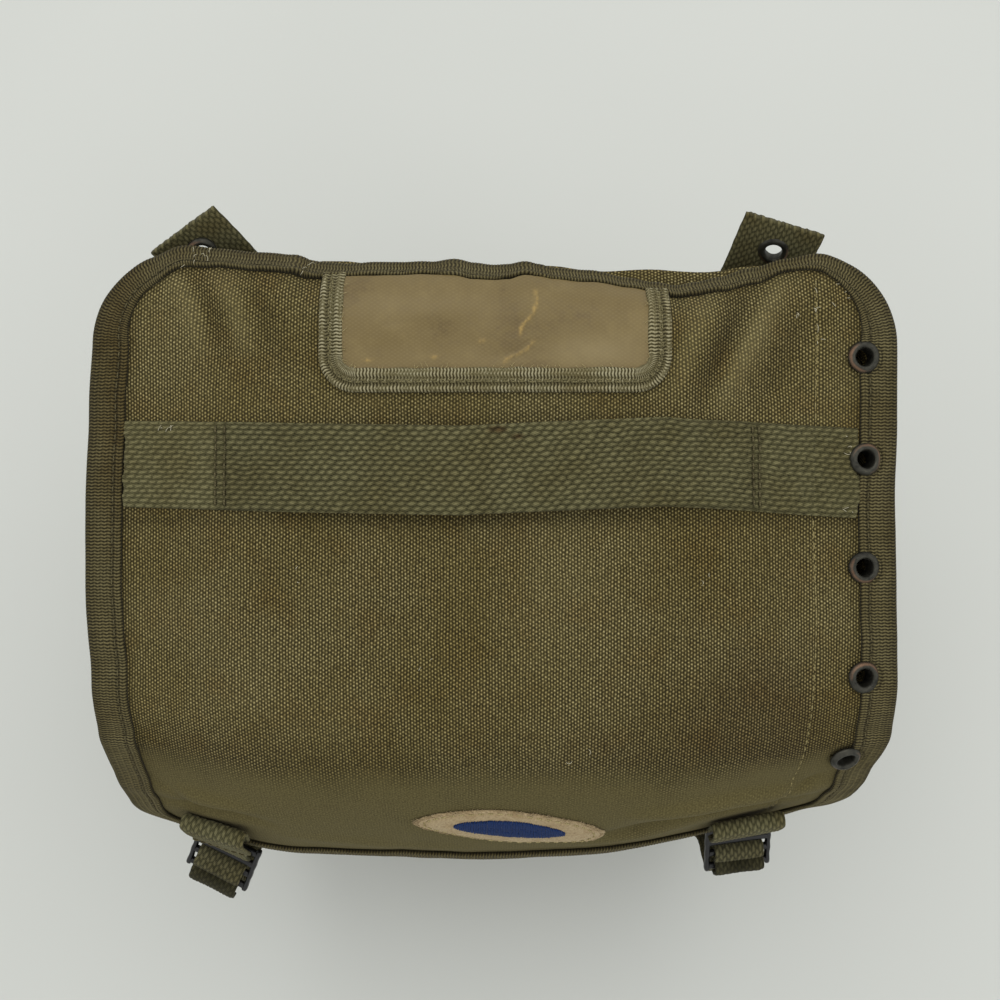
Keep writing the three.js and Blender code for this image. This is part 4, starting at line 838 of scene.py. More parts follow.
def build_binding():
    total = OUT_ARC[-1]
    ribs = int(round(total / 0.98))
    t = np.arange(ribs * 4) / (ribs * 4) * total
    u, s, nu, ns, tape, back = edge_at(t)
    s = s + tape_wave(u, back)
    wide = tape + back * 0.4 * fbm(u / 10.0, u * 0 + 4, 31.0, 2)
    for (eu, es) in EYELETS:
        d = np.abs(s - es)
        lim = u - eu - np.sqrt(np.maximum(0, 4.35 ** 2 - d * d))
        wide = np.where((u > 60) & (d < 4.35), np.minimum(wide, lim), wide)
    # share of the width, inwards, height, ribbed
    sec = [(1.0, 0.0, TAPE_IN + 0.15, 0.2), (0.985, 0.0, TAPE_OUT - 0.1, 0.9), (0.93, 0, TAPE_OUT + 0.16, 1.0), (0.84, 0, TAPE_OUT + 0.14, 1.0),
           (0.74, 0, TAPE_OUT - 0.14, 0.7), (0.67, 0, TAPE_OUT + 0.02, 0.95), (0.50, 0, TAPE_OUT + 0.02, 1.0), (0.30, 0, TAPE_OUT - 0.02, 1.0),
           (0.10, -0.1, TAPE_OUT - 0.02, 1.0), (0, -0.45, TAPE_OUT - 0.30, 1.0), (0, -1.25, 0.75, 0.9), (0, -1.25, -0.75, 0.9),
           (0, -0.45, 0.30 - TAPE_OUT, 0.8), (0.45, 0, -TAPE_OUT, 0.6), (1.0, 0, -TAPE_OUT, 0.3), (1.0, 0, -TAPE_IN, 0), (0.45, 0, -TAPE_IN, 0),
           (0.0, -0.2, 0.0, 0), (0.45, 0, TAPE_IN, 0)]
    sec = np.array(sec)
    share = sec[:, 0]
    D = share[None] * wide[:, None] + sec[None, :, 1]
    zig = 0.10 * noise2(t[:, None] / 2.2, share[None] * 7, 5.0)
    rib = np.abs(np.cos(np.pi * (t[:, None] + zig) / (total / ribs))) ** 0.8 - 0.5
    wob = 1 + 0.35 * noise2(t[:, None] / 4.0, share[None] * 3, 8.0)
    fold = back[:, None] * 0.32 * np.cos(2 * np.pi * share[None] * 1.02)
    up = sec[None, :, 2] + 0.15 * rib * sec[None, :, 3] * np.sign(sec[None, :, 2]) * wob + np.where(sec[None, :, 3] > 0.5, fold, 0)
    up = up + 0.16 * (sec[None, :, 3] > 0.5) * fbm(t[:, None] / 11.0, share[None] * 2.0, 17.0, 2)
    U, S = u[:, None] + nu[:, None] * D, s[:, None] + ns[:, None] * D
    # the lapped ends of the tape make a lump on the back edge
    up = up + np.sign(sec[None, :, 2]) * (sec[None, :, 3] > 0.5) * 0.75 * np.exp(-((U + 57.5) / 3.2) ** 2) * back[:, None]
    pts = on_lid(U, S, up)
    v, q, _ = tube_arrays(pts, loop=True)
    uv = np.stack([np.broadcast_to(t[:, None], D.shape), D], -1).reshape(-1, 2)
    dirt_and_shade = 0.9 * mark(U, S, -112, 40, 8, 60) + 0.5 * soft((S - 190) / 20) + 0.55 * back[:, None] * (0.5 + 0.5 * noise2(U / 12, S / 9, 3.0))
    # besides the ribs, painted shade: the tape is darker at its turned outer edge, in the groove of the stitch line and
    # where it meets the canvas
    high = np.clip(0.40 + (0.36 + 0.2 * noise2(t[:, None] / 2.0, share[None] * 4, 12.0)) * rib * sec[None, :, 3] - 0.20 * np.exp(-(share[None] / 0.13) ** 2) - 0.25 * np.exp(-((share[None] - 0.74) / 0.03) ** 2)
                   - 0.45 * (share[None] > 0.99), 0, 1)
    mask = np.stack([high, np.clip(dirt_and_shade, 0, 1)], -1).reshape(-1, 2)
    ob = new_mesh("lid_binding_tape", v, q, uvs={"cloth": uv, "mask": mask}, material=TAPE, slot="binding_tape", sharp=0)
    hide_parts("lid_binding")
    # one row of lock stitch round the tape
    b = Bundle()
    def at(tt, h, w):
        uu, ss, a, c, tp, bk = edge_at(tt)
        ss = ss + tape_wave(uu, bk)
        d = tp * 0.735 + w
        return on_lid(uu + a * d, ss + c * d, TAPE_OUT - 0.06 + h)
    n = int(total / 3.1)
    for k in range(n):
        t0 = k * total / n
        uu, ss, a, c, tp, bk = edge_at(np.array([t0 + 1.5]))
        px, py = uu[0] + a[0] * tp[0] * 0.735, ss[0] + c[0] * tp[0] * 0.735
        if min(math.hypot(px - eu, py - es) for eu, es in EYELETS) < 5.6:
            continue
        stitches(b, at, (t0, t0 + total / n), length=2.4, gap=0.7, radius=0.21)
    st = b.make("binding_stitches", material=THREAD_TAPE, slot="binding_tape", sharp=0)
    return ob, st


# ------------------------------------------------------------------ carry handle
HANDLE_LINES = (-81.0, -78.2, 76.4, 78.2)


def handle_shift(u):
    return np.interp(u, [-112, -60, -9, 25, 50, 85, 112], [-2.2, -0.4, 0.8, -0.8, -2.0, -0.6, 0.2])


def handle_up(u):
    t = np.abs(u) / 75.0
    return np.where(t < 1, HANDLE["lift"] * np.maximum(0, 1 - t * t) ** 1.4, 0)


def handle_point(u, v, h):
    """v runs across the handle from its back edge, 0, to its front edge, 1."""
    wide = HANDLE["s1"] - HANDLE["s0"] + 1.0 * soft((u - 60) / 50)
    s = HANDLE["s0"] + handle_shift(u) + v * wide
    base = on_lid(u, s, CLOTH + 0.25 + handle_up(u), detail=False)
    det = fine(u, s) * (1 - soft((handle_up(u) - 0.1) / 1.0))
    n = lid_normal(u, s, detail=False)
    return base + n * (det + np.asarray(h))[..., None]


def build_handle():
    nu, nv = 492, 92
    u = np.linspace(HANDLE["left"], HANDLE["right"], nu)
    v = np.linspace(0, 1, nv)
    U, Vv = np.broadcast_arrays(u[:, None], v[None, :])
    ragged = 0.7 * noise2(v * 9, v * 0, 3.0)
    end = np.exp(-((U - HANDLE["left"]) / 4.0) ** 2) * ragged[None] + np.exp(-((U - HANDLE["right"]) / 4.0) ** 2) * ragged[None, ::-1]
    U = U + end
    y = Vv * 26.0
    # rows of long floats, every row leaning the same way
    x = U + 0.7 * noise2(U / 30, y / 12, 4.0) + 0.30 * noise2(U / 4.2, y / 3.0, 6.0)
    wavy = y + 0.17 * np.cos(2 * np.pi * x / 3.0) * np.cos(np.pi * y / 1.46) + 0.30 * noise2(U / 4.0, y / 3.0, 8.0) + 0.012 * U
    row = np.floor(wavy / 1.46)
    f = wavy / 1.46 - row - 0.5
    L = np.abs(np.cos(np.pi * (x / 3.0 + 0.5 * np.mod(row, 2) + 0.34 * f + 0.12 * noise2(U / 2.0, row * 7.0, 3.0)))) ** 0.55 * np.cos(np.pi * f * 0.98) ** 0.8
    L = L * (0.89 + 0.09 * noise2(U / 1.3, row * 5.0 + 2, 7.0))
    edge = 1 - 0.6 * np.abs(2 * Vv - 1) ** 16
    tip = 1 - 0.35 * (np.exp(-((U - HANDLE["left"]) / 1.2) ** 2) + np.exp(-((U - HANDLE["right"]) / 1.2) ** 2))
    lines = 0.0
    for c in HANDLE_LINES:
        lines = lines + np.exp(-((U - c) / 0.55) ** 2)
    crimp = 1 - 0.35 * np.clip(lines, 0, 1)
    sag = 0.35 * fbm(U / 22, y / 14, 9.0, 2)
    # the free middle is a little dished and rolls at its edges
    dish = (handle_up(U) / HANDLE["lift"]) * 0.55 * np.cos(np.pi * (Vv - 0.5)) - 0.2
    top = handle_point(U, Vv, (1.15 + 0.60 * L) * edge * tip * crimp + sag + dish)
    bot = handle_point(U, Vv, 0.0 + 0.12 * (1 - L) * edge + np.where(handle_up(U) > 0.6, sag + dish, 0))
    sewn = soft((np.abs(U + 1.5) - 76.5) / 4.0)
    dirt_and_shade = 0.05 * sewn + 1.0 * mark(U, y, 2, 1.6, 3.2, 1.3) + 0.8 * mark(U, y, 7.5, 4.0, 2.4, 1.2) + 0.2 * mark(U, y, -30, 20, 22, 8) + 0.2 * mark(U, y, 40, 8, 16, 6)
    # painted shade along the four stitch lines, where the web is pressed in
    mask = np.stack([np.clip(0.11 + 0.78 * L * (1 - 0.4 * np.clip(lines, 0, 1)) + np.where(U < 0, 0.10, 0.03) * sewn, 0, 1), np.clip(dirt_and_shade, 0, 1)], -1)
    S = HANDLE["s0"] + handle_shift(U) + Vv * (HANDLE["s1"] - HANDLE["s0"])
    mid = lambda g: (g[:-1, :-1] + g[1:, 1:]) / 2
    keep = np.hypot(mid(U) - EYELETS[1][0], mid(S) - EYELETS[1][1]) > 4.5
    ob = slab("carry_handle_web", top, bot, np.stack([U, y], -1), keep, {"mask": mask}, material=WEB, slot="webbing", sharp=0)
    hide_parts("carry_handle")
    b = Bundle()
    for c in HANDLE_LINES:
        at = lambda t, h, w, c=c: handle_point(c + w + 0 * t, t / 26.0, 1.10 + np.asarray(h))
        stitches(b, at, (1.0, 25.0), length=2.3, gap=0.5, radius=0.26)
    st = b.make("handle_stitches", material=THREAD_TAPE, slot="webbing", sharp=0)
    return ob, st


# ------------------------------------------------------------------ card window
def window_top(u):
    return drawn_in(u) + back_tape(u) + 0.3


def build_window():
    w = WINDOW
    L, R, B = w["left"] + w["tape"] - 1.4, w["right"] - w["tape"] + 1.4, w["bottom"] - w["tape"] + 1.4
    u = np.linspace(L, R, 120)
    f = np.linspace(0, 1, 50)
    U = np.broadcast_to(u[None], (50, 120))
    top = window_top(U)
    corner = np.maximum(0, 1 - np.minimum(U - L, R - U) / 4) ** 2 * 3
    S = top + (B - corner - top) * f[:, None]
    swell = 0.35 * fbm(U / 20, S / 13, 3.0, 3) + 0.25 * fbm(U / 6, S / 5, 6.0, 2) * 0.5
    # creases across the sheet
    crack, side = 0.0, 0.0
    for line in ([(12.5, 13.0), (13.0, 17.0), (12.0, 20.5), (9.0, 23.5), (8.0, 26.5)], [(12.5, 28.0), (10.0, 31.0), (7.0, 32.5), (4.0, 34.0)]):
        pu, ps = np.array(line).T
        cx = np.interp(S, ps, pu)
        inside = soft((S - ps[0] + 0.5) / 1.5) * (1 - soft((S - ps[-1] - 0.3) / 1.2))
        lean = np.maximum(1.0, np.abs(np.interp(S + 0.5, ps, pu) - np.interp(S - 0.5, ps, pu)))
        crack = crack + np.exp(-((U - cx) / (0.50 * lean)) ** 2) * inside * (0.65 + 0.35 * noise2(S / 1.3, U * 0, 2.0))
        side = side + np.exp(-((U - cx) / (3.0 * lean)) ** 2) * inside
    swell = swell + 0.40 * crack - 0.16 * side
    for (cu, cs, ru, rs) in [(-36.5, 34, 1.1, 0.5), (-17, 33, 0.9, 0.5), (-3, 28.5, 0.8, 0.6)]:
        crack = crack + 0.7 * mark(U, S, cu, cs, ru, rs)
    haze = 0.75 * mark(U, S, 32, 31, 14, 5) + 0.25 * mark(U, S, -25, 17, 25, 5) + 0.25 * mark(U, S, 0, 34, 60, 3)
    up = CLOTH + 0.35
    mask = np.stack([np.clip(crack, 0, 1), np.clip(haze, 0, 1)], -1)
    pane = slab("card_window_sheet", on_lid(U, S, up + 0.75 + swell), on_lid(U, S, up - 0.2), np.stack([U, S], -1), None, {"mask": mask},
                material=PANE, slot="clear_sheet", sharp=60)
    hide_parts("window_pane")

    r = w["radius"]
    route = []
    tl, tr = float(window_top(w["left"] + w["tape"] / 2)), float(window_top(w["right"] - w["tape"] / 2))
    for s in np.linspace(tl - 1.0, w["bottom"] - r, 60):
        route.append((w["left"], s, 1, 0))
    for k in range(1, 30):
        t = math.radians(180 - 90 * k / 30)
        route.append((w["left"] + r + r * math.cos(t), w["bottom"] - r + r * math.sin(t), -math.cos(t), -math.sin(t)))
    for uu in np.linspace(w["left"] + r, w["right"] - r, 160):
        route.append((uu, w["bottom"], 0, -1))
    for k in range(1, 30):
        t = math.radians(90 - 90 * k / 30)
        route.append((w["right"] - r + r * math.cos(t), w["bottom"] - r + r * math.sin(t), -math.cos(t), -math.sin(t)))
    for s in np.linspace(w["bottom"] - r, tr - 1.0, 60):
        route.append((w["right"], s, -1, 0))
    o = np.array(route)
    arc = np.concatenate([[0], np.cumsum(np.hypot(np.diff(o[:, 0]), np.diff(o[:, 1])))])
    def at_route(t):
        c = [np.interp(t, arc, o[:, k]) for k in range(4)]
        n = np.hypot(c[2], c[3])
        return c[0], c[1], c[2] / n, c[3] / n
    t = np.arange(0, arc[-1], 0.24)
    uu, ss, nu, ns = at_route(t)
    h = lambda a: up + a
    T = w["tape"]
    # distance inwards, height, outer ribs, inner ribs
    sec = np.array([(0.0, h(0.1), 0.3, 0), (0.25, h(1.0), 1, 0), (0.9, h(1.30), 1, 0), (1.6, h(1.32), 1, 0), (2.1, h(1.16), 0.4, 0),
                    (2.5, h(1.12), 0, 0.3), (3.2, h(1.22), 0, 0.6), (3.9, h(1.22), 0, 0.6), (4.3, h(1.14), 0, 0.4), (4.8, h(1.32), 0, 1),
                    (5.5, h(1.42), 0, 1), (6.2, h(1.42), 0, 1), (6.8, h(1.28), 0, 1), (7.1, h(0.9), 0, 0.6), (7.1, h(0.3), 0, 0), (4.8, h(-0.2), 0, 0), (1.6, h(-0.2), 0, 0)])
    over = np.abs(np.cos(np.pi * (t[:, None] / 1.12 + 0.05 * sec[None, :, 0]))) ** 0.8 - 0.5
    ribs = np.abs(np.cos(np.pi * t[:, None] / 1.02)) ** 0.8 - 0.5
    wob = 1 + 0.4 * noise2(t[:, None] / 3.0, sec[None, :, 0], 8.0)
    H = sec[None, :, 1] + (0.24 * over * sec[None, :, 2] + 0.18 * ribs * sec[None, :, 3]) * wob
    Dd = sec[None, :, 0] + (sec[None, :, 0] < 1) * (-0.22 * over) + 0 * H
    inner = sec[None, :, 0] > 5.8
    Dd = Dd + inner * 0.35 * fbm(t[:, None] / 5.0, t[:, None] * 0, 12.0, 2)
    U2, S2 = uu[:, None] + nu[:, None] * Dd, ss[:, None] + ns[:, None] * Dd
    H = H + 0.2 * fbm(U2 / 9, S2 / 9, 14.0, 2) * (sec[None, :, 1] > h(0.2))
    v, q, tr_ = tube_arrays(on_lid(U2, S2, H))
    uv = np.stack([np.broadcast_to(t[:, None], Dd.shape), Dd], -1).reshape(-1, 2)
    # painted shade in the three grooves of the tape's section, at 2.1, 2.5 and 4.3 mm in
    high = np.clip(0.42 + 0.65 * (over * sec[None, :, 2] + ribs * sec[None, :, 3]) - 0.4 * np.isin(sec[None, :, 0], [2.1, 2.5, 4.3]) * 0.6, 0, 1)
    dirt_and_shade = 0.35 * mark(U2, S2, w["right"], 20, 12, 16) + 0.4 * (noise2(U2 / 14, S2 / 14, 5.0) > 0.3)
    tape = new_mesh("window_tape", v, q, tr_, uvs={"cloth": uv, "mask": np.stack([high, dirt_and_shade + 0 * high], -1).reshape(-1, 2)},
                    material=WINDOW_TAPE, slot="binding_tape", sharp=0)
    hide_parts("window_binding")
    b = Bundle()
    for d, off in ((2.95, 0.0), (3.5, 1.2)):
        def at(tt, hh, ww, d=d):
            a, c, e, g = at_route(tt)
            return on_lid(a + e * (d + ww), c + g * (d + ww), up + 1.16 + np.asarray(hh))
        stitches(b, at, (1.0 + off, arc[-1] - 1.0), length=2.1, gap=0.45, radius=0.27)
    st = b.make("window_stitches", material=THREAD, slot="binding_tape", sharp=0)
    # frayed threads along the inner edge of the tape
    fr = Bundle()
    for k in range(70):
        tt = np.array([2 + (arc[-1] - 4) * hash01(k, 9.0)])
        a, c, e, g = at_route(tt)
        ln = 0.8 + 1.5 * hash01(k, 4.0)
        dd = 6.7 + np.linspace(0, 1, 5) * ln * (0.5 + 0.5 * hash01(k, 11.0))
        drift = (hash01(k, 6.0) - 0.5) * 3.0 * np.linspace(0, 1, 5) ** 1.4
        strand(fr, on_lid(a + e * dd - g * drift, c + g * dd + e * drift, up + 1.15 + 0.25 * np.sin(np.linspace(0, 3, 5))), 0.075, 5)
    fz = fr.make("window_frays", material=THREAD_PALE, slot="binding_tape", sharp=0)
    return pane, tape, st, fz


# ------------------------------------------------------------------ eyelets
EYE = [(2.55, -2.05), (2.62, -2.35), (3.2, -2.5), (4.2, -2.45), (4.6, -2.2), (4.5, -1.8), (3.6, -1.62), (3.15, -1.5), (3.15, 0.0), (3.15, 1.25),
       (3.5, 1.35), (4.4, 1.15), (4.78, 1.05), (4.9, 1.3), (4.86, 1.65), (4.6, 2.05), (4.25, 2.42), (3.85, 2.66), (3.5, 2.72), (3.15, 2.60), (2.85, 2.30),
       (2.68, 1.9), (2.6, 1.3), (2.56, 0.0)]


def eyelet(name, centre, axis, node, lift=0.0, seed=1.0, back=0.0, depth=1.0):
    m = 72
    a = unit(np.cross(np.array([1.0, 0, 0]), axis))
    b = np.cross(axis, a)
    t = np.arange(m) / m * 2 * np.pi
    prof = np.array(EYE)
    rr, hh = prof[:, 0], prof[:, 1] + np.where(prof[:, 1] > 0.5, lift, np.where(prof[:, 1] < -0.5, -back, 0))
    hh = hh * depth
    rim = prof[:, 1] > 1.0
    dent = 1 + 0.018 * np.sin(3 * t + seed * 5)[:, None] * rim[None] + 0.012 * noise2(t[:, None] * 3 + seed * 9, hh[None], seed)
    R = rr[None] * dent
    H = hh[None] + 0.07 * np.sin(2 * t + seed * 3)[:, None] * rim[None] + 0.05 * noise2(t[:, None] * 4, rr[None] * 2 + seed * 7, seed) * rim[None]
    rings = centre + (np.cos(t)[:, None] * a + np.sin(t)[:, None] * b)[:, None] * R[..., None] + axis * H[..., None]
    v, q, _ = tube_arrays(rings, loop=True)
    ring = np.broadcast_to(t[:, None], R.shape)
    edge = np.clip((prof[:, 1][None] > 1.2) * (1.0 - np.abs(rr[None] - 4.3) / 0.9) * (0.65 + 0.5 * np.sin(t + seed * 2.1)[:, None]), 0, 1)
    ob = new_mesh(name, v, q, uvs={"cloth": np.stack([ring * 3.5, R], -1).reshape(-1, 2), "mask": np.stack([ring, edge], -1).reshape(-1, 2)},
                  material=BRASS, slot="eyelet_metal", sharp=0)
    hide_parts(node)
    return ob


def build_eyelets():
    for k, (u, s) in enumerate(EYELETS):
        c = on_lid(np.array(u), np.array(s), 0.0, detail=False)
        n = lid_normal(np.array(u), np.array(s), step=4.0, detail=False)
        n = unit(n + np.array([0.04 * (hash01(k, 3.0) - 0.5), 0.05 * (hash01(k, 5.0) - 0.5), 0]))
        eyelet("lid_eyelet_%d" % (k + 1), c, n, "eyelet_%d" % (k + 1), lift=1.15 if k == 1 else 0.45, seed=1.3 * (k + 1))


# ------------------------------------------------------------------ patch
def build_patch():
    def spot(du, ds):
        """A place on the patch, which sits askew, pointed at its left end and blunt at its right."""
        c = np.clip(du / PATCH["half_u"], -1.1, 1.1)
        ds = ds * (0.74 - 0.20 * np.clip(-c, 0, 1) ** 1.5 + 0.24 * np.clip(c, 0, 1) ** 3)
        return PATCH["u"] + du, PATCH["s"] - 1.4 + ds + 5.2 * c + 1.5 * c * c

    rings, around = 26, 180
    t = np.arange(around) / around * 2 * np.pi
    f = np.concatenate([[0.02], np.linspace(0.08, 1, rings - 1)])
    rag = 1 + 0.012 * noise2(t * 9, t * 0, 3.0) + 0.010 * noise2(t * 30, t * 0, 5.0) + 0.012 * np.sin(3 * t + 1)
    reach = f[:, None] * np.where(f[:, None] > 0.9, rag[None], 1)
    U, S = spot(PATCH["half_u"] * reach * np.cos(t)[None], PATCH["half_s"] * reach * np.sin(t)[None])
    wave = 0.25 * fbm(U / 9, S / 7, 3.0, 3) + 0.10 * fbm(U / 1.5, S / 1.5, 5.0, 2)
    edge = 1 - 0.65 * f[:, None] ** 14
    # sewn down just inside its edge
    groove = -0.45 * np.exp(-((f[:, None] - 0.90) / 0.022) ** 2)
    lo = CLOTH + 0.2
    top = on_lid(U, S, lo + (1.15 + wave) * edge + groove)
    bot = on_lid(U, S, lo + 0 * U)
    n = rings * around
    idx = np.arange(n).reshape(rings, around)
    a, b2 = idx[:-1], idx[1:]
    up = np.stack([a, np.roll(a, -1, 1), np.roll(b2, -1, 1), b2], -1).reshape(-1, 4)
    low = up[:, ::-1] + n
    rim = np.stack([idx[-1], np.roll(idx[-1], -1), np.roll(idx[-1], -1) + n, idx[-1] + n], -1)[:, ::-1]
    v = np.concatenate([top.reshape(-1, 3), bot.reshape(-1, 3), top[0].mean(0)[None], bot[0].mean(0)[None]])
    cap = [(2 * n, idx[0, j], idx[0, (j + 1) % around]) for j in range(around)] + [(2 * n + 1, idx[0, (j + 1) % around] + n, idx[0, j] + n) for j in range(around)]
    cap = np.array(cap)[:, ::-1]
    one = np.stack([U, S], -1).reshape(-1, 2)
    uv = np.concatenate([one, one, [[PATCH["u"], PATCH["s"]]] * 2])
    ob = new_mesh("patch_felt", v, np.concatenate([up, low, rim]), cap, uvs={"cloth": uv}, material=FELT, slot="patch_felt", sharp=60)
    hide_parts("patch")

    # a plain oval in satin stitch: raised rows of thread, each a little uneven
    b = Bundle()
    hu, hs = 17.6, 7.0
    pitch = 0.52
    n_rows = int(2 * hu / pitch)
    for k in range(n_rows):
        x = -hu + (k + 0.5) * pitch
        half = hs * math.sqrt(max(0.0, 1 - (x / hu) ** 2)) + 0.35 * (hash01(k, 1.0) - 0.5)
        if half < 0.6:
            continue
        parts = 2 if half > 5 else 1
        cut = (hash01(k, 2.0) - 0.5) * 5.0
        for (y0, y1) in ([(-half, cut + 0.5), (cut - 0.5, half)] if parts == 2 else [(-half, half)]):
            y = np.linspace(y0, y1, 9)
            lift = 0.26 * np.sin(np.pi * np.linspace(0.04, 0.96, 9)) ** 0.4
            uu, sv = spot(x + 0.10 * (hash01(k, 7.0) - 0.5) + 0 * y, y - 1.0)
            base = 0.25 * fbm(uu / 9, sv / 7, 3.0, 3)
            strand(b, on_lid(uu, sv, lo + 1.12 + base + lift), 0.30, 6)
    blue = b.make("patch_embroidery", material=BLUE, slot="patch_felt", sharp=0)
    # stitches holding the patch
    st = Bundle()
    ang = np.linspace(0, 2 * np.pi, 721)
    arc = np.concatenate([[0], np.cumsum(np.hypot(np.diff(0.9 * PATCH["half_u"] * np.cos(ang)), np.diff(0.9 * PATCH["half_s"] * np.sin(ang))))])
    def at(tt, h, w):
        a2 = np.interp(tt, arc, ang)
        uu, sv = spot((0.9 * PATCH["half_u"] + w) * np.cos(a2), (0.9 * PATCH["half_s"] + w) * np.sin(a2))
        return on_lid(uu, sv, lo + 0.78 + 0.25 * fbm(uu / 9, sv / 7, 3.0, 3) + np.asarray(h))
    stitches(st, at, (0, arc[-1]), length=2.3, gap=0.7, radius=0.22)
    sewn = st.make("patch_stitches", material=THREAD_PALE, slot="patch_felt", sharp=0)
    # loose fibres round the edge
    fr = Bundle()
    for k in range(330):
        a2 = 2 * np.pi * hash01(k, 3.3)
        ln = 0.6 + 1.9 * hash01(k, 4.4) ** 2
        g = np.linspace(0, 1, 5)
        rr = 0.955 + g * ln * 0.05
        turn = (hash01(k, 5.5) - 0.5) * 0.10 * g ** 1.3
        uu, sv = spot((PATCH["half_u"] * 0.955 + g * ln) * np.cos(a2 + turn), (PATCH["half_s"] * 0.955 + g * ln) * np.sin(a2 + turn))
        strand(fr, on_lid(uu, sv, lo + 0.55 * (1 - g) + 0.12 + 0.45 * hash01(k, 6.6) * np.sin(np.pi * g)), 0.085, 5)
    fibre = fr.make("patch_fibres", material=FELT, slot="patch_felt", sharp=0)
    return ob, blue, sewn, fibre


# ------------------------------------------------------------------ bag
def bag(col, z):
    return ease(BAG, col, z)


def bag_point(p, z):
    """Outer face of the bag; p runs round it, 0 to 4 from the left front corner: front, right, back, left."""
    p, z = np.broadcast_arrays(np.asarray(p, float), np.asarray(z, float))
    side = np.floor(np.mod(p, 4)).astype(int)
    t = np.mod(p, 4) - side
    a, f, b, r = bag(1, z), bag(2, z), bag(3, z), bag(4, z)
    corner = 0.22
    long = side % 2 == 0
    h = np.where(long, a, (b - f) / 2)
    mid = np.where(long, 0, (b + f) / 2)
    left, right = t < corner, t > 1 - corner
    q = math.radians(45) * np.where(left, 1 - t / corner, np.where(right, (t - 1 + corner) / corner, 0))
    along = np.where(left | right, np.where(left, -1, 1) * (h - r + r * np.sin(q)), (h - r) * (((t - corner) / (1 - 2 * corner)) * 2 - 1))
    away = np.where(left | right, r - r * np.cos(q), 0)
    bows = np.select([side == 0, side == 2], [bag(5, z), bag(6, z)], bag(7, z))
    bow = bows * (1 - np.minimum(1, np.abs(along) / h) ** 2)
    x = np.select([side == 0, side == 1, side == 2], [along, a - away + bow, -along], -a + away - bow)
    y = np.select([side == 0, side == 1, side == 2], [f + away - bow, mid + along, b - away + bow], mid - along)
    return np.stack([x, y, z], -1) + SHIFT


def bag_normal(p, z, e=0.012):
    dp = bag_point(p + e, z) - bag_point(p - e, z)
    dz = bag_point(p, z + 0.8) - bag_point(p, np.maximum(z - 0.8, 2.0))
    return unit(np.cross(dp, dz))


def lid_under(x, y):
    lo, hi = drawn_in(x - SHIFT[0]), np.full_like(x, LID_LENGTH)
    for _ in range(40):
        s = (lo + hi) / 2
        far = lid_mid(x - SHIFT[0], s, detail=False)[..., 1] > y
        lo, hi = np.where(far, s, lo), np.where(far, hi, s)
    return lid_mid(x - SHIFT[0], (lo + hi) / 2, detail=False)[..., 2]


def rim_height(p):
    z = np.full_like(p, 185.0)
    for _ in range(12):
        q = bag_point(p, z)
        y = q[..., 1] - SHIFT[1]
        room = 7.0 + (4.2 - 7.0) * soft((y - 55) / 30)
        at_back = (np.floor(np.mod(p, 4)) == 2) * ease(BACK_RIM, 1, np.clip(q[..., 0] - SHIFT[0], -58, 82))
        z = z + 0.5 * (lid_under(q[..., 0], q[..., 1]) - room + at_back - z)
    return z


def bag_folds(p, z):
    """Sag and folds of the walls, positive outwards. Little at the rim and none at the base's edge."""
    x = p * 55.0
    edge = soft((z - 4) / 26)
    d = 2.0 * fbm(x / 70 + 0.3, z / 60, 41.0, 3) * edge
    d = d + 0.75 * fbm(x / 17, z / 26, 43.0, 3) * edge
    # slumped rolls above the base, and drag lines falling from the corners
    d = d + 1.3 * np.exp(-((z - 17) / 7.0) ** 2) * (0.4 + 0.6 * noise2(x / 30, z * 0, 5.0)) - 1.2 * np.exp(-((z - 31) / 6.0) ** 2) * (0.5 + 0.5 * noise2(x / 26, z * 0, 8.0))
    for c in range(5):
        f = (p - c)
        wave = np.sin(z / 7.5 + 2.0 * noise2(z / 30, p * 0 + c, 6.0) + 9 * f)
        d = d + 0.9 * wave * np.exp(-((np.abs(f) - 0.10) / 0.07) ** 2) * edge * (1 - 0.6 * soft((z - 150) / 40))
    for (pc, zc, al, ac, be, he) in [(0.22, 120, 40, 7, 62, 2.0), (0.34, 112, 36, 6, 70, -1.8), (0.78, 118, 40, 7, 116, 2.0), (0.66, 100, 34, 6, 110, -1.6),
                                     (1.35, 92, 46, 8, 58, 2.2), (1.62, 70, 40, 8, 120, -2.0), (1.5, 130, 34, 9, 96, 1.4),
                                     (3.35, 76, 44, 8, 60, -2.0), (3.66, 96, 46, 8, 118, 2.2), (3.5, 40, 40, 7, 15, 1.3),
                                     (2.3, 80, 60, 10, 64, 1.8), (2.7, 66, 60, 10, 112, 1.8), (2.5, 38, 50, 7, 2, 1.2), (0.5, 44, 60, 8, 4, 1.5)]:
        c, e = math.cos(math.radians(be)), math.sin(math.radians(be))
        dx = (p - pc) * np.where((pc < 1) | ((pc >= 2) & (pc < 3)), 200.0, 150.0)
        l, w = (dx * c + (z - zc) * e) / al, ((z - zc) * c - dx * e) / ac
        d = d + he * np.exp(-l * l - w * w)
    # welted seams at the four corners
    near = np.abs(p - np.round(p)) * 175.0
    d = d + 1.15 * np.exp(-(near / 1.25) ** 2) - 0.55 * np.exp(-((near - 3.2) / 1.0) ** 2)
    return d


def full_side(p, z):
    """The right wall stands out under the row of eyelets."""
    return 5.5 * np.exp(-((p - 1.14) / 0.13) ** 2) * soft((z - 165) / 22)


def seam_near(p):
    return np.abs(p - np.round(p)) * 175.0


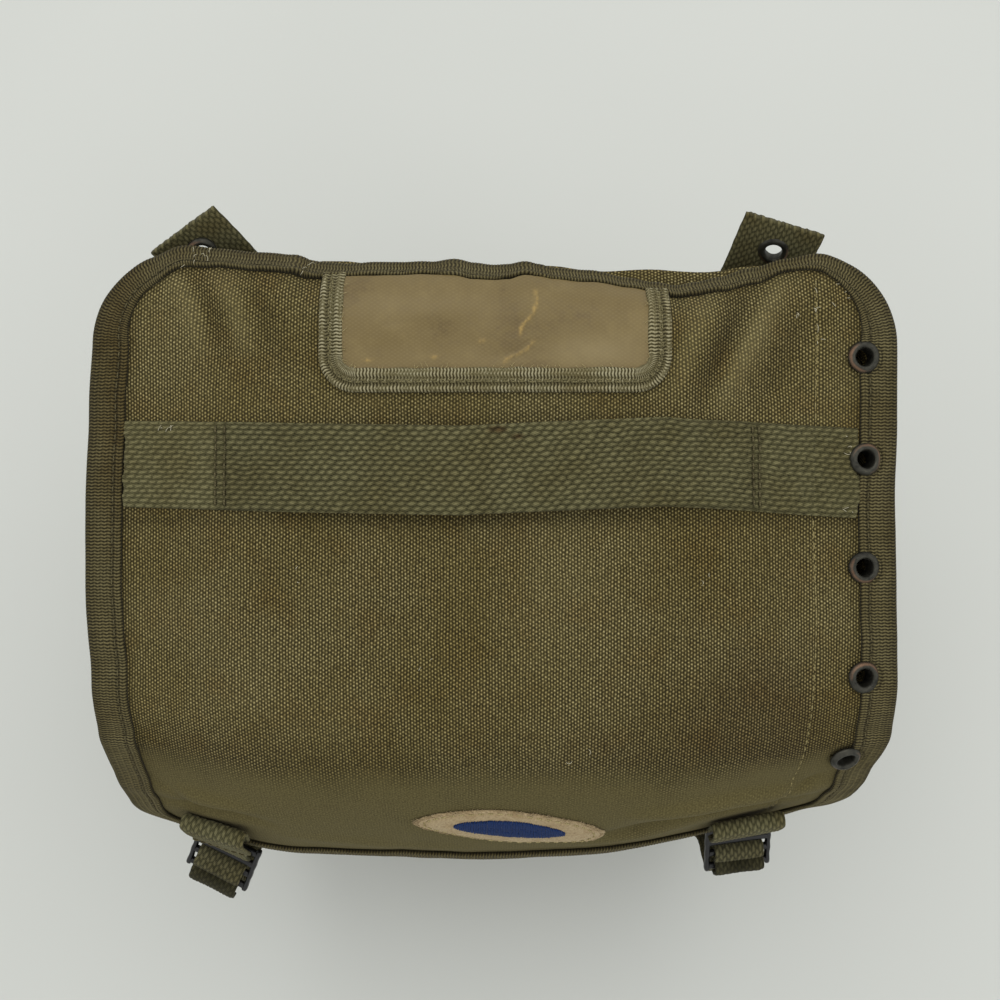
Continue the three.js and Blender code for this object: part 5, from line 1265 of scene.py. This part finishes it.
def build_bag():
    z0 = 1.2
    # columns crowd at the corner seams so that the welts are round
    one = np.concatenate([np.linspace(0, 0.03, 12)[:-1], np.linspace(0.03, 0.97, 74), np.linspace(0.97, 1, 12)[1:-1]])
    p = np.concatenate([one + k for k in range(4)])
    rim = rim_height(p)
    f = np.concatenate([np.linspace(0, 0.05, 8)[:-1], np.linspace(0.05, 0.97, 92), np.linspace(0.97, 1, 6)[1:]])
    Z = z0 + (rim[None] - z0) * f[:, None]
    P = np.broadcast_to(p[None], Z.shape)
    mid = bag_point(P, np.maximum(Z, 2.8))
    mid[..., 2] = Z
    n = bag_normal(P, np.maximum(Z, 2.8))
    under = 1 - soft((Z - 150) / 45) * 0.65
    d = bag_folds(P, Z) * under
    hem = soft((rim[None] - Z) / 1.0) * (1 - soft((rim[None] - Z - 15) / 1.2)) * 0.55      # turned hem at the mouth
    tuck = -1.4 * (1 - soft(Z / 3.2))
    d = d + full_side(P, Z)
    behind = np.exp(-((P - 2.5) / 0.42) ** 8)
    turned = 1.7 + 6.5 * behind * soft((Z - rim[None] + 3.2) / 2.2)
    outer = mid + n * (d + hem + tuck - 0.6)[..., None]
    inner = mid + n * (d + tuck - 0.6 - turned)[..., None]
    # one closed section: up the outside, over the mouth and down the inside
    nr, nc = Z.shape
    across = np.linspace(0, 1, 8)[1:-1]
    over = outer[-1][None] + (inner[-1] - outer[-1])[None] * across[:, None, None]
    over[..., 2] += 0.5 * np.sin(np.pi * across)[:, None]
    rows = np.concatenate([outer, over, inner[::-1]])
    idx = np.arange(len(rows) * nc).reshape(len(rows), nc)
    nxt = np.roll(idx, -1, 0)
    faces = np.stack([idx, np.roll(idx, -1, 1), np.roll(nxt, -1, 1), nxt], -1).reshape(-1, 4)
    v = rows.reshape(-1, 3)
    Zall = np.concatenate([Z, Z[-1][None] + turned[-1][None] * across[:, None], Z[::-1] + turned[-1][None]])
    Pall = np.broadcast_to(p[None], Zall.shape)
    lap = np.concatenate([[0], np.cumsum(np.linalg.norm(np.diff(bag_point(p, 100.0), axis=0), axis=1))])
    X = np.broadcast_to(lap[None], Zall.shape)
    uv1 = np.stack([X, Zall], -1).reshape(-1, 2)
    stain = 0.55 * (1 - soft(Zall / 40)) + 0.5 * np.exp(-(seam_near(Pall) / 5.0) ** 2) + 0.4 * np.clip(fbm(X / 45, Zall / 40, 51.0, 3), 0, 1)
    wear = 0.5 * np.exp(-((Zall - 14) / 10.0) ** 2) + 0.55 * np.exp(-(seam_near(Pall) / 2.0) ** 2)
    m1 = np.stack([np.clip(stain, 0, 1), np.clip(wear, 0, 1)], -1).reshape(-1, 2)
    # painted shade in the hollows of the wall folds and painted highlight on their ridges, from the fold relief
    sag = np.concatenate([d, np.repeat(d[-1][None], len(across), 0), d[::-1]])
    painted_fold_shade = np.stack([np.clip(0.5 + 0.09 * sag, 0, 1), 0 * sag], -1).reshape(-1, 2)
    ob = new_mesh("bag_walls", v, faces, uvs={"cloth": uv1, "mask": m1, "fold": painted_fold_shade}, material=CANVAS, slot="canvas", sharp=60)
    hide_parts("front_panel", "side_right", "back_panel", "side_left")
    def wall_at(pp, zz, h):
        q = bag_point(pp, np.maximum(zz, 2.8))
        q[..., 2] = zz
        und = 1 - soft((zz - 150) / 45) * 0.65
        return q + bag_normal(pp, np.maximum(zz, 2.8)) * (bag_folds(pp, zz) * und + full_side(pp, zz) - 0.6 + np.asarray(h))[..., None]
    # stitch lines beside the corner seams, round the mouth and above the base
    b2 = Bundle()
    for k in range(4):
        for off in (-0.029, 0.029):
            top_z = float(rim_height(np.array([np.mod(k + off, 4)]))[0]) - 3
            at = lambda t, h, w, k=k, off=off: wall_at(np.mod(k + off + 0 * t, 4), t, np.asarray(h))
            stitches(b2, at, (8, top_z), length=2.7, gap=0.7, radius=0.26)
    line = np.linspace(0, 4, 1601)
    rimline = rim_height(np.mod(line, 4)) - 13.2
    arc = np.concatenate([[0], np.cumsum(np.linalg.norm(np.diff(bag_point(np.mod(line, 4), rimline), axis=0), axis=1))])
    def mouth(t, h, w):
        pp = np.interp(t, arc, line)
        return wall_at(np.mod(pp, 4), np.interp(t, arc, rimline), 0.3 + np.asarray(h))
    stitches(b2, mouth, (0, arc[-1]), length=2.7, gap=0.7, radius=0.26)
    arc2 = np.concatenate([[0], np.cumsum(np.linalg.norm(np.diff(bag_point(np.mod(line, 4), 7.0 + 0 * line), axis=0), axis=1))])
    foot = lambda t, h, w: wall_at(np.mod(np.interp(t, arc2, line), 4), 7.5 + 0 * t, np.asarray(h))
    stitches(b2, foot, (0, arc2[-1]), length=2.7, gap=0.7, radius=0.26)
    st = b2.make("bag_stitches", material=THREAD, slot="canvas", sharp=0)

    # base: its edge turned up against the walls
    ring_p = np.linspace(0, 4, 321)[:-1]
    edge = bag_point(ring_p, 2.8)[:, :2]
    mid2 = np.array([0.0, 6.5])
    fr = np.concatenate([[0.012], np.linspace(0.06, 0.96, 24), [0.985, 0.996, 1.0]])
    G = mid2 + (edge[None] - mid2) * fr[:, None, None] * (1 - 0.012)
    sagz = 0.22 * np.clip(fbm(G[..., 0] / 40, G[..., 1] / 40, 61.0, 3), -1, 1)
    lift = 0.9 * np.clip((fr - 0.96) / 0.04, 0, 1) ** 2
    lo = np.concatenate([G, (0.02 + 0.0 * sagz + lift[:, None])[..., None]], -1)
    hi = np.concatenate([G, (2.1 + sagz * (fr < 0.97)[:, None] - 0.0 * lift[:, None])[..., None]], -1)
    nr, nc = len(fr), len(ring_p)
    idx = np.arange(nr * nc).reshape(nr, nc)
    N = nr * nc
    q = np.stack([idx[:-1], np.roll(idx[:-1], -1, 1), np.roll(idx[1:], -1, 1), idx[1:]], -1).reshape(-1, 4)
    rimq = np.stack([idx[-1], np.roll(idx[-1], -1), np.roll(idx[-1], -1) + N, idx[-1] + N], -1)[:, ::-1]
    cap = [(2 * N, idx[0, (j + 1) % nc], idx[0, j]) for j in range(nc)] + [(2 * N + 1, idx[0, j] + N, idx[0, (j + 1) % nc] + N) for j in range(nc)]
    v = np.concatenate([hi.reshape(-1, 3), lo.reshape(-1, 3), hi[0].mean(0)[None], lo[0].mean(0)[None]])
    uv = np.concatenate([G.reshape(-1, 2), (G + 2.4 * unit(G - mid2)).reshape(-1, 2), [[0, 6.5]] * 2])
    mk = np.full((len(v), 2), 0.0)
    mk[:, 0] = 0.45
    base = new_mesh("bag_base", v, np.concatenate([q[:, ::-1], q + N, rimq[:, ::-1]]), np.array(cap), uvs={"cloth": uv, "mask": mk, "fold": np.tile([0.5, 0.0], (len(v), 1))}, material=CANVAS, slot="canvas", sharp=60)
    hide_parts("base_panel")
    return ob, base, st


def bag_front(x, z):
    a, f, r = bag(1, z), bag(2, z), bag(4, z)
    over = np.maximum(0, np.abs(x) - (a - r))
    return f + r - np.sqrt(np.maximum(0, r * r - over * over)) - bag(5, z) * (1 - (x / a) ** 2)


# ------------------------------------------------------------------ straps and buckles
def rod(bundle, a, b, radius, sides=20, waist=0.0, round_end=True):
    """A round bar with eased ends."""
    a, b = np.asarray(a, float), np.asarray(b, float)
    L = np.linalg.norm(b - a)
    f = np.array([0, 0.12, 0.5, 0.88, 1.0]) * min(1.0, 1.0)
    e = min(0.45 * radius, L / 4)
    st = np.array([0, 0.15 * e, 0.5 * e, e, 0.25 * L, 0.5 * L, 0.75 * L, L - e, L - 0.5 * e, L - 0.15 * e, L])
    rr = radius * np.array([0.62, 0.82, 0.95, 1, 1 - waist, 1 - waist, 1 - waist, 1, 0.95, 0.82, 0.62])
    d = (b - a) / L
    ref = np.array([0, 0, 1.0]) if abs(d[2]) < 0.9 else np.array([1.0, 0, 0])
    x = unit(np.cross(d, ref))
    y = np.cross(d, x)
    t = np.arange(sides) / sides * 2 * np.pi
    rings = a + st[:, None, None] * d + rr[:, None, None] * (np.cos(t)[None, :, None] * x + np.sin(t)[None, :, None] * y)
    v, q, tr = tube_arrays(rings)
    bundle.add(v, q, tr, np.stack([np.repeat(st, sides), np.tile(t, len(st))], 1))


def build_straps():
    one = np.array
    for (name, u, twist, swing, roll, lower, tail, tail_dir) in STRAPS:
        root = on_lid(one(u), one(LID_LENGTH), 0.0, detail=False)
        out = lid_normal(one(u), one(LID_LENGTH), detail=False)
        along = unit(on_lid(one(u + 8.0), one(LID_LENGTH), 0.0, detail=False) - on_lid(one(u - 8.0), one(LID_LENGTH), 0.0, detail=False))
        down = unit(np.cross(out, along))
        down = -down if down[2] > 0 else down
        outward = unit(np.cross(along, down))
        outward = -outward if outward @ out < 0 else outward
        skew = math.radians(twist)
        across = along * math.cos(skew) + outward * math.sin(skew)
        face = outward * math.cos(skew) - along * math.sin(skew)
        local = lambda s, h: root + down * s + face * (h - 0.0029 * min(s, 0.0) ** 2)
        loop_r = BUCKLE["bar_r"] + 0.75 + WEB_T / 2
        bar_s, bar_h, roll_r = 6.5, 1.85, 1.9
        tilt, turn = math.radians(BUCKLE["tilt"]), math.radians(swing)
        lean = down * math.cos(tilt) + face * math.sin(tilt)
        q1 = face * math.cos(tilt) - down * math.sin(tilt)
        p1 = lean * math.cos(turn) + across * math.sin(turn)
        x1 = across * math.cos(turn) - lean * math.sin(turn)
        bar0 = local(bar_s, bar_h)
        inb = lambda x, p, q: bar0 + x1 * x + p1 * p + q1 * q

        # folded web that holds the buckle; its upper end is rolled over
        fold = [(roll + 5.5, lower), (roll + 2.5, lower), (roll, lower)]
        fold += [(roll + roll_r * math.cos(t), lower + roll_r + roll_r * math.sin(t)) for t in np.radians(-90 - 22.5 * np.arange(1, 8))]
        fold += [(roll, lower + 2 * roll_r), (roll + 6, lower + 2 * roll_r - 0.4), (-10, 5.5), (-4, 5.1), (2, bar_h + loop_r + 0.1)]
        fold += [(bar_s + loop_r * math.cos(t), bar_h + loop_r * math.sin(t)) for t in np.radians(90 - 17.5 * np.arange(9))]
        place = np.array([s for s, _ in fold])
        pts = np.array([local(s, h) for s, h in fold])
        sides = np.array([unit(across * (1 - k) + x1 * k) for k in soft((place + 2) / 6)])
        wide, aside = (21.6, 2.0) if name == "left" else (24.0, -3.2)
        pts = pts + across * (aside * soft((-place - 2) / 12))[:, None]
        width = wide - (wide - LOOP_W) * soft((place + 11) / 13)
        web, r = ribbon("buckle_web_%s_cloth" % name, pts, sides, width, WEB_T, row=1.3, length=2.5, amp=0.24, step=0.40, across=0.30, material=WEB_DARK, seed=3.0 + u,
                        dirt_and_shade=lambda X, Y: 0.25 + 0.4 * noise2(X / 7, Y / 6, 3.0), flip=-1.0)
        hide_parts("buckle_web_%s" % name)
        b = Bundle()
        at = lambda t, h, w: np.stack([local(-9.0 + w, 5.45 + 0.85 + hh) + across * (tt + 0.5 * aside) for tt, hh in zip(np.ravel(t), np.ravel(h))])
        stitches(b, at, (-9.6, 9.6), length=2.3, gap=0.6, radius=0.26)
        b.make("buckle_web_%s_stitches" % name, material=THREAD_TAPE, slot="webbing", sharp=0)

        # four-bar buckle: two rails, thicker where the bars run into them
        b = Bundle()
        half, bar, bars = BUCKLE["inner"], BUCKLE["bar_r"], BUCKLE["bars"]
        sec = 28
        t = np.arange(sec) / sec * 2 * np.pi
        pr = np.array([-1.95, -1.85, -1.55, -1.0, 0, 1.6, 2.6, 3.6, 5.2, 6.7, 7.55, 8.4, 9.9, 11.6, 12.75, 13.9, 15.6, 16.6, 17.15, 17.45, 17.55])
        sc = np.array([0.25, 0.55, 0.82, 0.98, 1, 0.88, 0.82, 0.88, 1, 0.88, 0.82, 0.88, 1, 0.88, 0.82, 0.88, 1, 0.98, 0.82, 0.55, 0.25])
        for e in (-1, 1):
            rings = [[inb(e * (half + 1.0) + k * np.sign(math.cos(a)) * abs(math.cos(a)) ** 0.7, pp, 1.3 * k * np.sign(math.sin(a)) * abs(math.sin(a)) ** 0.7)
                      for a in t] for pp, k in zip(pr, sc)]
            v, q, tr = tube_arrays(np.array(rings))
            b.add(v, q, tr, np.stack([np.repeat(pr, sec), np.tile(t, len(pr))], 1))
        for p in bars:
            rod(b, inb(-(half + 0.9), p, 0), inb(half + 0.9, p, 0), bar, 22, waist=0.04)
        buckle = b.make("buckle_%s_metal" % name, material=ENAMEL, slot="buckle_metal", sharp=40)
        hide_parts("buckle_%s" % name)

        # strap: up the front, behind the lower bars, over the third one and down as a tail
        R = bar + 0.4 + WEB_T / 2
        mid, low = bars[2], bars[3]
        path = [(low + 3, -R - 1.4), (low - 1, -R - 0.2), (mid + 3, -R)]
        path += [(mid + R * math.cos(t), R * math.sin(t)) for t in np.radians(270 - 22.5 * np.arange(9))]
        # the end dips behind the third bar, swells over the last one and is turned under
        bend = math.radians(tail_dir)
        tip, drop = 13.4 + tail * math.cos(bend), R + 1.05 + tail * math.sin(bend)
        if tail > 8:
            path += [(11.6, R + 0.75), (13.3, R + 0.45), (14.6, R - 0.25), (15.9, R + 0.6), (18.8, 0.5 * (R + drop) + 1.5)]
        else:
            path += [(mid + 1.7, R - 0.1), (12.5, R - 0.95), (13.5, R + 0.35), (0.5 * (13.6 + tip), 0.5 * (R + drop) + 1.35)]
        path += [(tip - 1.2, drop + 0.7), (tip - 0.1, drop - 0.7), (tip - 0.3, drop - 2.1)]
        turn_at = 12.2 if tail > 8 else 9.6
        upper = np.array([inb(0, p, q) for p, q in path])
        cx = root[0] - SHIFT[0]
        spread = STRAP_W / 2 * abs(across[0])
        foot, fside = [], []
        for k, z in enumerate((24.0, 30.0, 36.0, 42.0, 49.0, 62.0)):
            l = np.array([cx - spread, float(bag_front(np.array(cx - spread), np.array(z))), z]) + SHIFT
            rr = np.array([cx + spread, float(bag_front(np.array(cx + spread), np.array(z))), z]) + SHIFT
            xx = unit(rr - l)
            n2 = unit(np.array([xx[1], -xx[0], 0]))
            foot.append((l + rr) / 2 + n2 * (3.1 + 0.8 * (z - 24) / 12.5))
            fside.append(xx)
        pts = np.concatenate([np.array(foot), upper])
        sides = np.concatenate([np.array(fside), np.repeat(x1[None], len(upper), 0)])
        # painted shade: past the turn the tail is darkened through both mask channels, with a darker line at the turn,
        # where the strap bends down away from the light
        strap, r = ribbon("strap_%s_webbing" % name, pts, sides, STRAP_W, WEB_T, row=1.3, length=2.5, amp=0.24, step=0.42, across=0.30, material=STRAP,
                          seed=9.0 + u, dirt_and_shade=lambda X, Y: 0.2 + 0.4 * noise2(X / 9, Y / 7, 4.0) + 0.6 * soft((X - X.max() + turn_at) / 1.5), fray=0.12,
                          shade=lambda X: 0.38 * soft((X - X.max() + turn_at) / 1.2) + 0.5 * np.exp(-((X - X.max() + turn_at) / 0.8) ** 2))
        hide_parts("strap_%s" % name)
        b = Bundle()
        for x0, x1s in ((3.0, 3.0), (14.0, 14.0)):
            at = lambda t, h, w, x0=x0: on_ribbon(r, x0 + w + 0 * np.asarray(t), np.asarray(t), WEB_T / 2 + np.asarray(h))
            stitches(b, at, (-7.4, 7.4), length=2.3, gap=0.6, radius=0.26)
        for y0 in (-7.4, 7.4):
            at = lambda t, h, w, y0=y0: on_ribbon(r, np.asarray(t), y0 + w + 0 * np.asarray(t), WEB_T / 2 + np.asarray(h))
            stitches(b, at, (3.0, 14.0), length=2.3, gap=0.6, radius=0.26)
        for sgn in (-1, 1):
            at = lambda t, h, w, sgn=sgn: on_ribbon(r, 3.0 + np.asarray(t), sgn * (-7.4 + np.asarray(t) * 14.8 / 11.0), WEB_T / 2 + np.asarray(h))
            stitches(b, at, (0.5, 10.5), length=1.6, gap=0.4, radius=0.26)
        b.make("strap_%s_stitches" % name, material=THREAD, slot="webbing", sharp=0)


# ------------------------------------------------------------------ back tabs
def build_tabs():
    for (name, lean, turn, foot_x, tip_x, tip_z, y_foot, y_top, share) in TABS:
        lean, turn = math.radians(lean), math.radians(turn)
        f = np.array([0, 0.15, 0.3, 0.45, 0.55, 0.65, 0.75, 0.84, 0.92, 1.0])
        g = soft((f - 0.3) / 0.7)
        side = unit(np.stack([np.cos(turn * g) * np.cos(lean * g), np.sin(turn * g), -np.sin(lean * g)], 1))
        # its foot lies round the corner of the bag
        side = unit(side + np.array([0, 0.15 if name == "left" else -0.15, 0]) * (1 - soft(f / 0.4))[:, None])
        y_foot = y_foot - 0.9 * (1 - soft(f / 0.4))
        at = np.stack([foot_x + (tip_x - foot_x) * f * f, y_foot + (y_top - y_foot) * f ** 3, 158 + (tip_z - 158) * f], 1) + SHIFT
        lens = np.concatenate([[0], np.cumsum(np.linalg.norm(np.diff(at, axis=0), axis=1))])
        hole_at = np.interp(0.84 + 0.16 * share, f, lens)
        tab, r = ribbon("tab_%s_webbing" % name, at, side, TAB_W, 2.3, row=1.27, length=2.4, amp=0.22, step=0.40, across=0.31, material=WEB_DARK,
                        seed=5.0 + lean, dirt_and_shade=lambda X, Y: 0.45 + 0.4 * noise2(X / 8, Y / 7, 6.0), flip=1.0, wave=0.3,
                        hole=lambda X, Y: np.hypot(X - hole_at, Y) < 3.75, fray=0.35)
        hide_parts("tab_%s" % name)
        path, run, sd, face, wd = r
        axis = unit(np.array([np.interp(hole_at, run, face[:, c]) for c in range(3)]))
        axis = -axis if axis[1] > 0 else axis
        c = np.array([np.interp(hole_at, run, path[:, k]) for k in range(3)])
        eyelet("tab_eyelet_%s_metal" % name, c, axis, "tab_eyelet_%s" % name, seed=7.0 + turn, depth=0.62 if name == "right" else 1.15)
        b = Bundle()
        sgn = 1.0 if np.interp(5, run, face[:, 1]) > 0 else -1.0
        for x0 in (3.5, 16.0):
            atf = lambda t, h, w, x0=x0: on_ribbon(r, x0 + w + 0 * np.asarray(t), np.asarray(t), sgn * (1.15 + np.asarray(h)))
            stitches(b, atf, (-11, 11), length=2.5, gap=0.6, radius=0.28)
        for y0 in (-11.2, 11.2):
            atf = lambda t, h, w, y0=y0: on_ribbon(r, np.asarray(t), y0 + w + 0 * np.asarray(t), sgn * (1.12 + np.asarray(h)))
            stitches(b, atf, (3.5, 16), length=2.5, gap=0.6, radius=0.28)
        b.make("tab_%s_stitches" % name, material=THREAD, slot="webbing", sharp=0)


# ------------------------------------------------------------------ seam line, lint and loose threads
def build_threads():
    b = Bundle()
    def at(t, h, w):
        return on_lid(seam_u(t) + w, t, CLOTH - 0.12 + np.asarray(h))
    for a0, a1 in ((8.0, HANDLE["s0"] - 1.5), (HANDLE["s1"] + 1.2, 203.0)):
        stitches(b, at, (a0, a1), length=2.7, gap=0.6, radius=0.26)
    seam = b.make("lid_seam_stitches", material=THREAD_SEAM, slot="canvas", sharp=0)
    b = Bundle()
    def tuft(cu, cs, n, size, spread, seed, rad=0.09, height=1.0, base=CLOTH):
        for k in range(n):
            a = 2 * np.pi * hash01(k, seed)
            L = size * (0.4 + 0.9 * hash01(k, seed + 1))
            g = np.linspace(0, 1, 7)
            cu2, cs2 = cu + spread * (hash01(k, seed + 2) - 0.5), cs + spread * (hash01(k, seed + 3) - 0.5)
            bend = (hash01(k, seed + 4) - 0.5) * 3.0
            uu = cu2 + L * (g * np.cos(a + bend * g))
            sv = cs2 + L * (g * np.sin(a + bend * g))
            strand(b, on_lid(uu, sv, base + 0.15 + height * np.sin(np.pi * g) * hash01(k, seed + 5)), rad, 5)
    # lint near the eyelets, frays at the corners of the binding and the handle's ends
    for (cu, cs, n, sz, sp, se) in [(100, 14, 2, 2.0, 6, 1.0), (97, 17, 3, 1.9, 3, 2.0), (96.5, 26, 3, 2.2, 3, 3.0), (104, 9, 3, 1.8, 5, 4.0), (109, 13, 3, 1.8, 4, 5.0), (92, 20, 2, 1.8, 3, 5.5),
                                    (-60, 100, 2, 1.6, 10, 6.0), (30, 150, 2, 1.8, 14, 7.0), (-20, 120, 2, 1.8, 12, 8.0), (60, 96, 2, 1.6, 9, 9.0)]:
        tuft(cu, cs, n, sz, sp, se)
    for (cu, cs, n, sz, sp, se) in [(-89, 2.0, 9, 2.0, 7, 12.0), (-57, 5.5, 6, 1.6, 4, 13.0)]:
        tuft(cu, cs, n, sz, sp, se, base=TAPE_OUT)
    for (cu, cs, n, sz, sp, se) in [(107, 58, 4, 1.8, 6, 15.0), (-96, 54.5, 7, 1.8, 5, 17.0), (106, 78, 3, 1.6, 5, 18.0)]:
        tuft(cu, cs, n, sz, sp, se, base=2.0)
    lint = b.make("loose_threads", material=LINT, slot="binding_tape", sharp=0)
    return seam, lint


lid = build_lid()
binding, binding_stitches = build_binding()
handle, handle_stitches = build_handle()
pane, window_tape, window_stitches, window_frays = build_window()
build_eyelets()
patch, patch_blue, patch_sewn, patch_fibre = build_patch()
walls, base, bag_st = build_bag()
build_straps()
build_tabs()
seam, lint = build_threads()

# ------------------------------------------------------------------ stage, light and camera
def floor_material():
    k = Nodes("pale_floor")
    n = k.noise(k.place(), 3.0, 2.0, 0.5)
    col = k.ramp(n, [(0.3, (0.575, 0.590, 0.565)), (0.7, (0.595, 0.61, 0.585))])
    return k.done(col, 0.9, spec=0.1)


me = bpy.data.meshes.new("floor")
me.from_pydata([(-6, -6, 0), (6, -6, 0), (6, 6, 0), (-6, 6, 0)], [], [(0, 1, 2, 3)])
floor = bpy.data.objects.new("floor", me)
me.materials.append(floor_material())
bpy.context.scene.collection.objects.link(floor)

scene = bpy.context.scene
world = bpy.data.worlds.new("studio")
scene.world = world
world.use_nodes = True
world.node_tree.nodes["Background"].inputs[0].default_value = (0.98, 0.985, 0.97, 1)
world.node_tree.nodes["Background"].inputs[1].default_value = 0.98


def area(name, loc, target, size, energy, color=(1, 1, 1)):
    d = bpy.data.lights.new(name, "AREA")
    d.shape = "RECTANGLE"
    d.size, d.size_y = size
    d.energy = energy
    d.color = color
    o = bpy.data.objects.new(name, d)
    from mathutils import Vector
    v = Vector(target) - Vector(loc)
    o.rotation_euler = v.to_track_quat("-Z", "Y").to_euler()
    o.location = loc
    scene.collection.objects.link(o)
    return o


area("key", (-0.10, 0.55, 1.45), (0, 0, 0.15), (1.5, 1.2), 5.2, (1.0, 0.98, 0.94))
area("fill", (0.9, -0.6, 1.2), (0, 0, 0.15), (1.0, 1.0), 1.5, (1.0, 0.99, 0.97))

cam = bpy.data.cameras.new("camera")
cam.lens, cam.sensor_width, cam.sensor_height, cam.sensor_fit = 41.11, 36.0, 36.0, "HORIZONTAL"
cam.clip_start, cam.clip_end = 0.01, 30
cam_ob = bpy.data.objects.new("camera", cam)
cam_ob.location = (0.00237, -0.09275, 0.5306)
cam_ob.rotation_euler = (math.radians(18), 0, 0)
scene.collection.objects.link(cam_ob)
scene.camera = cam_ob
scene.view_settings.view_transform = "Standard"
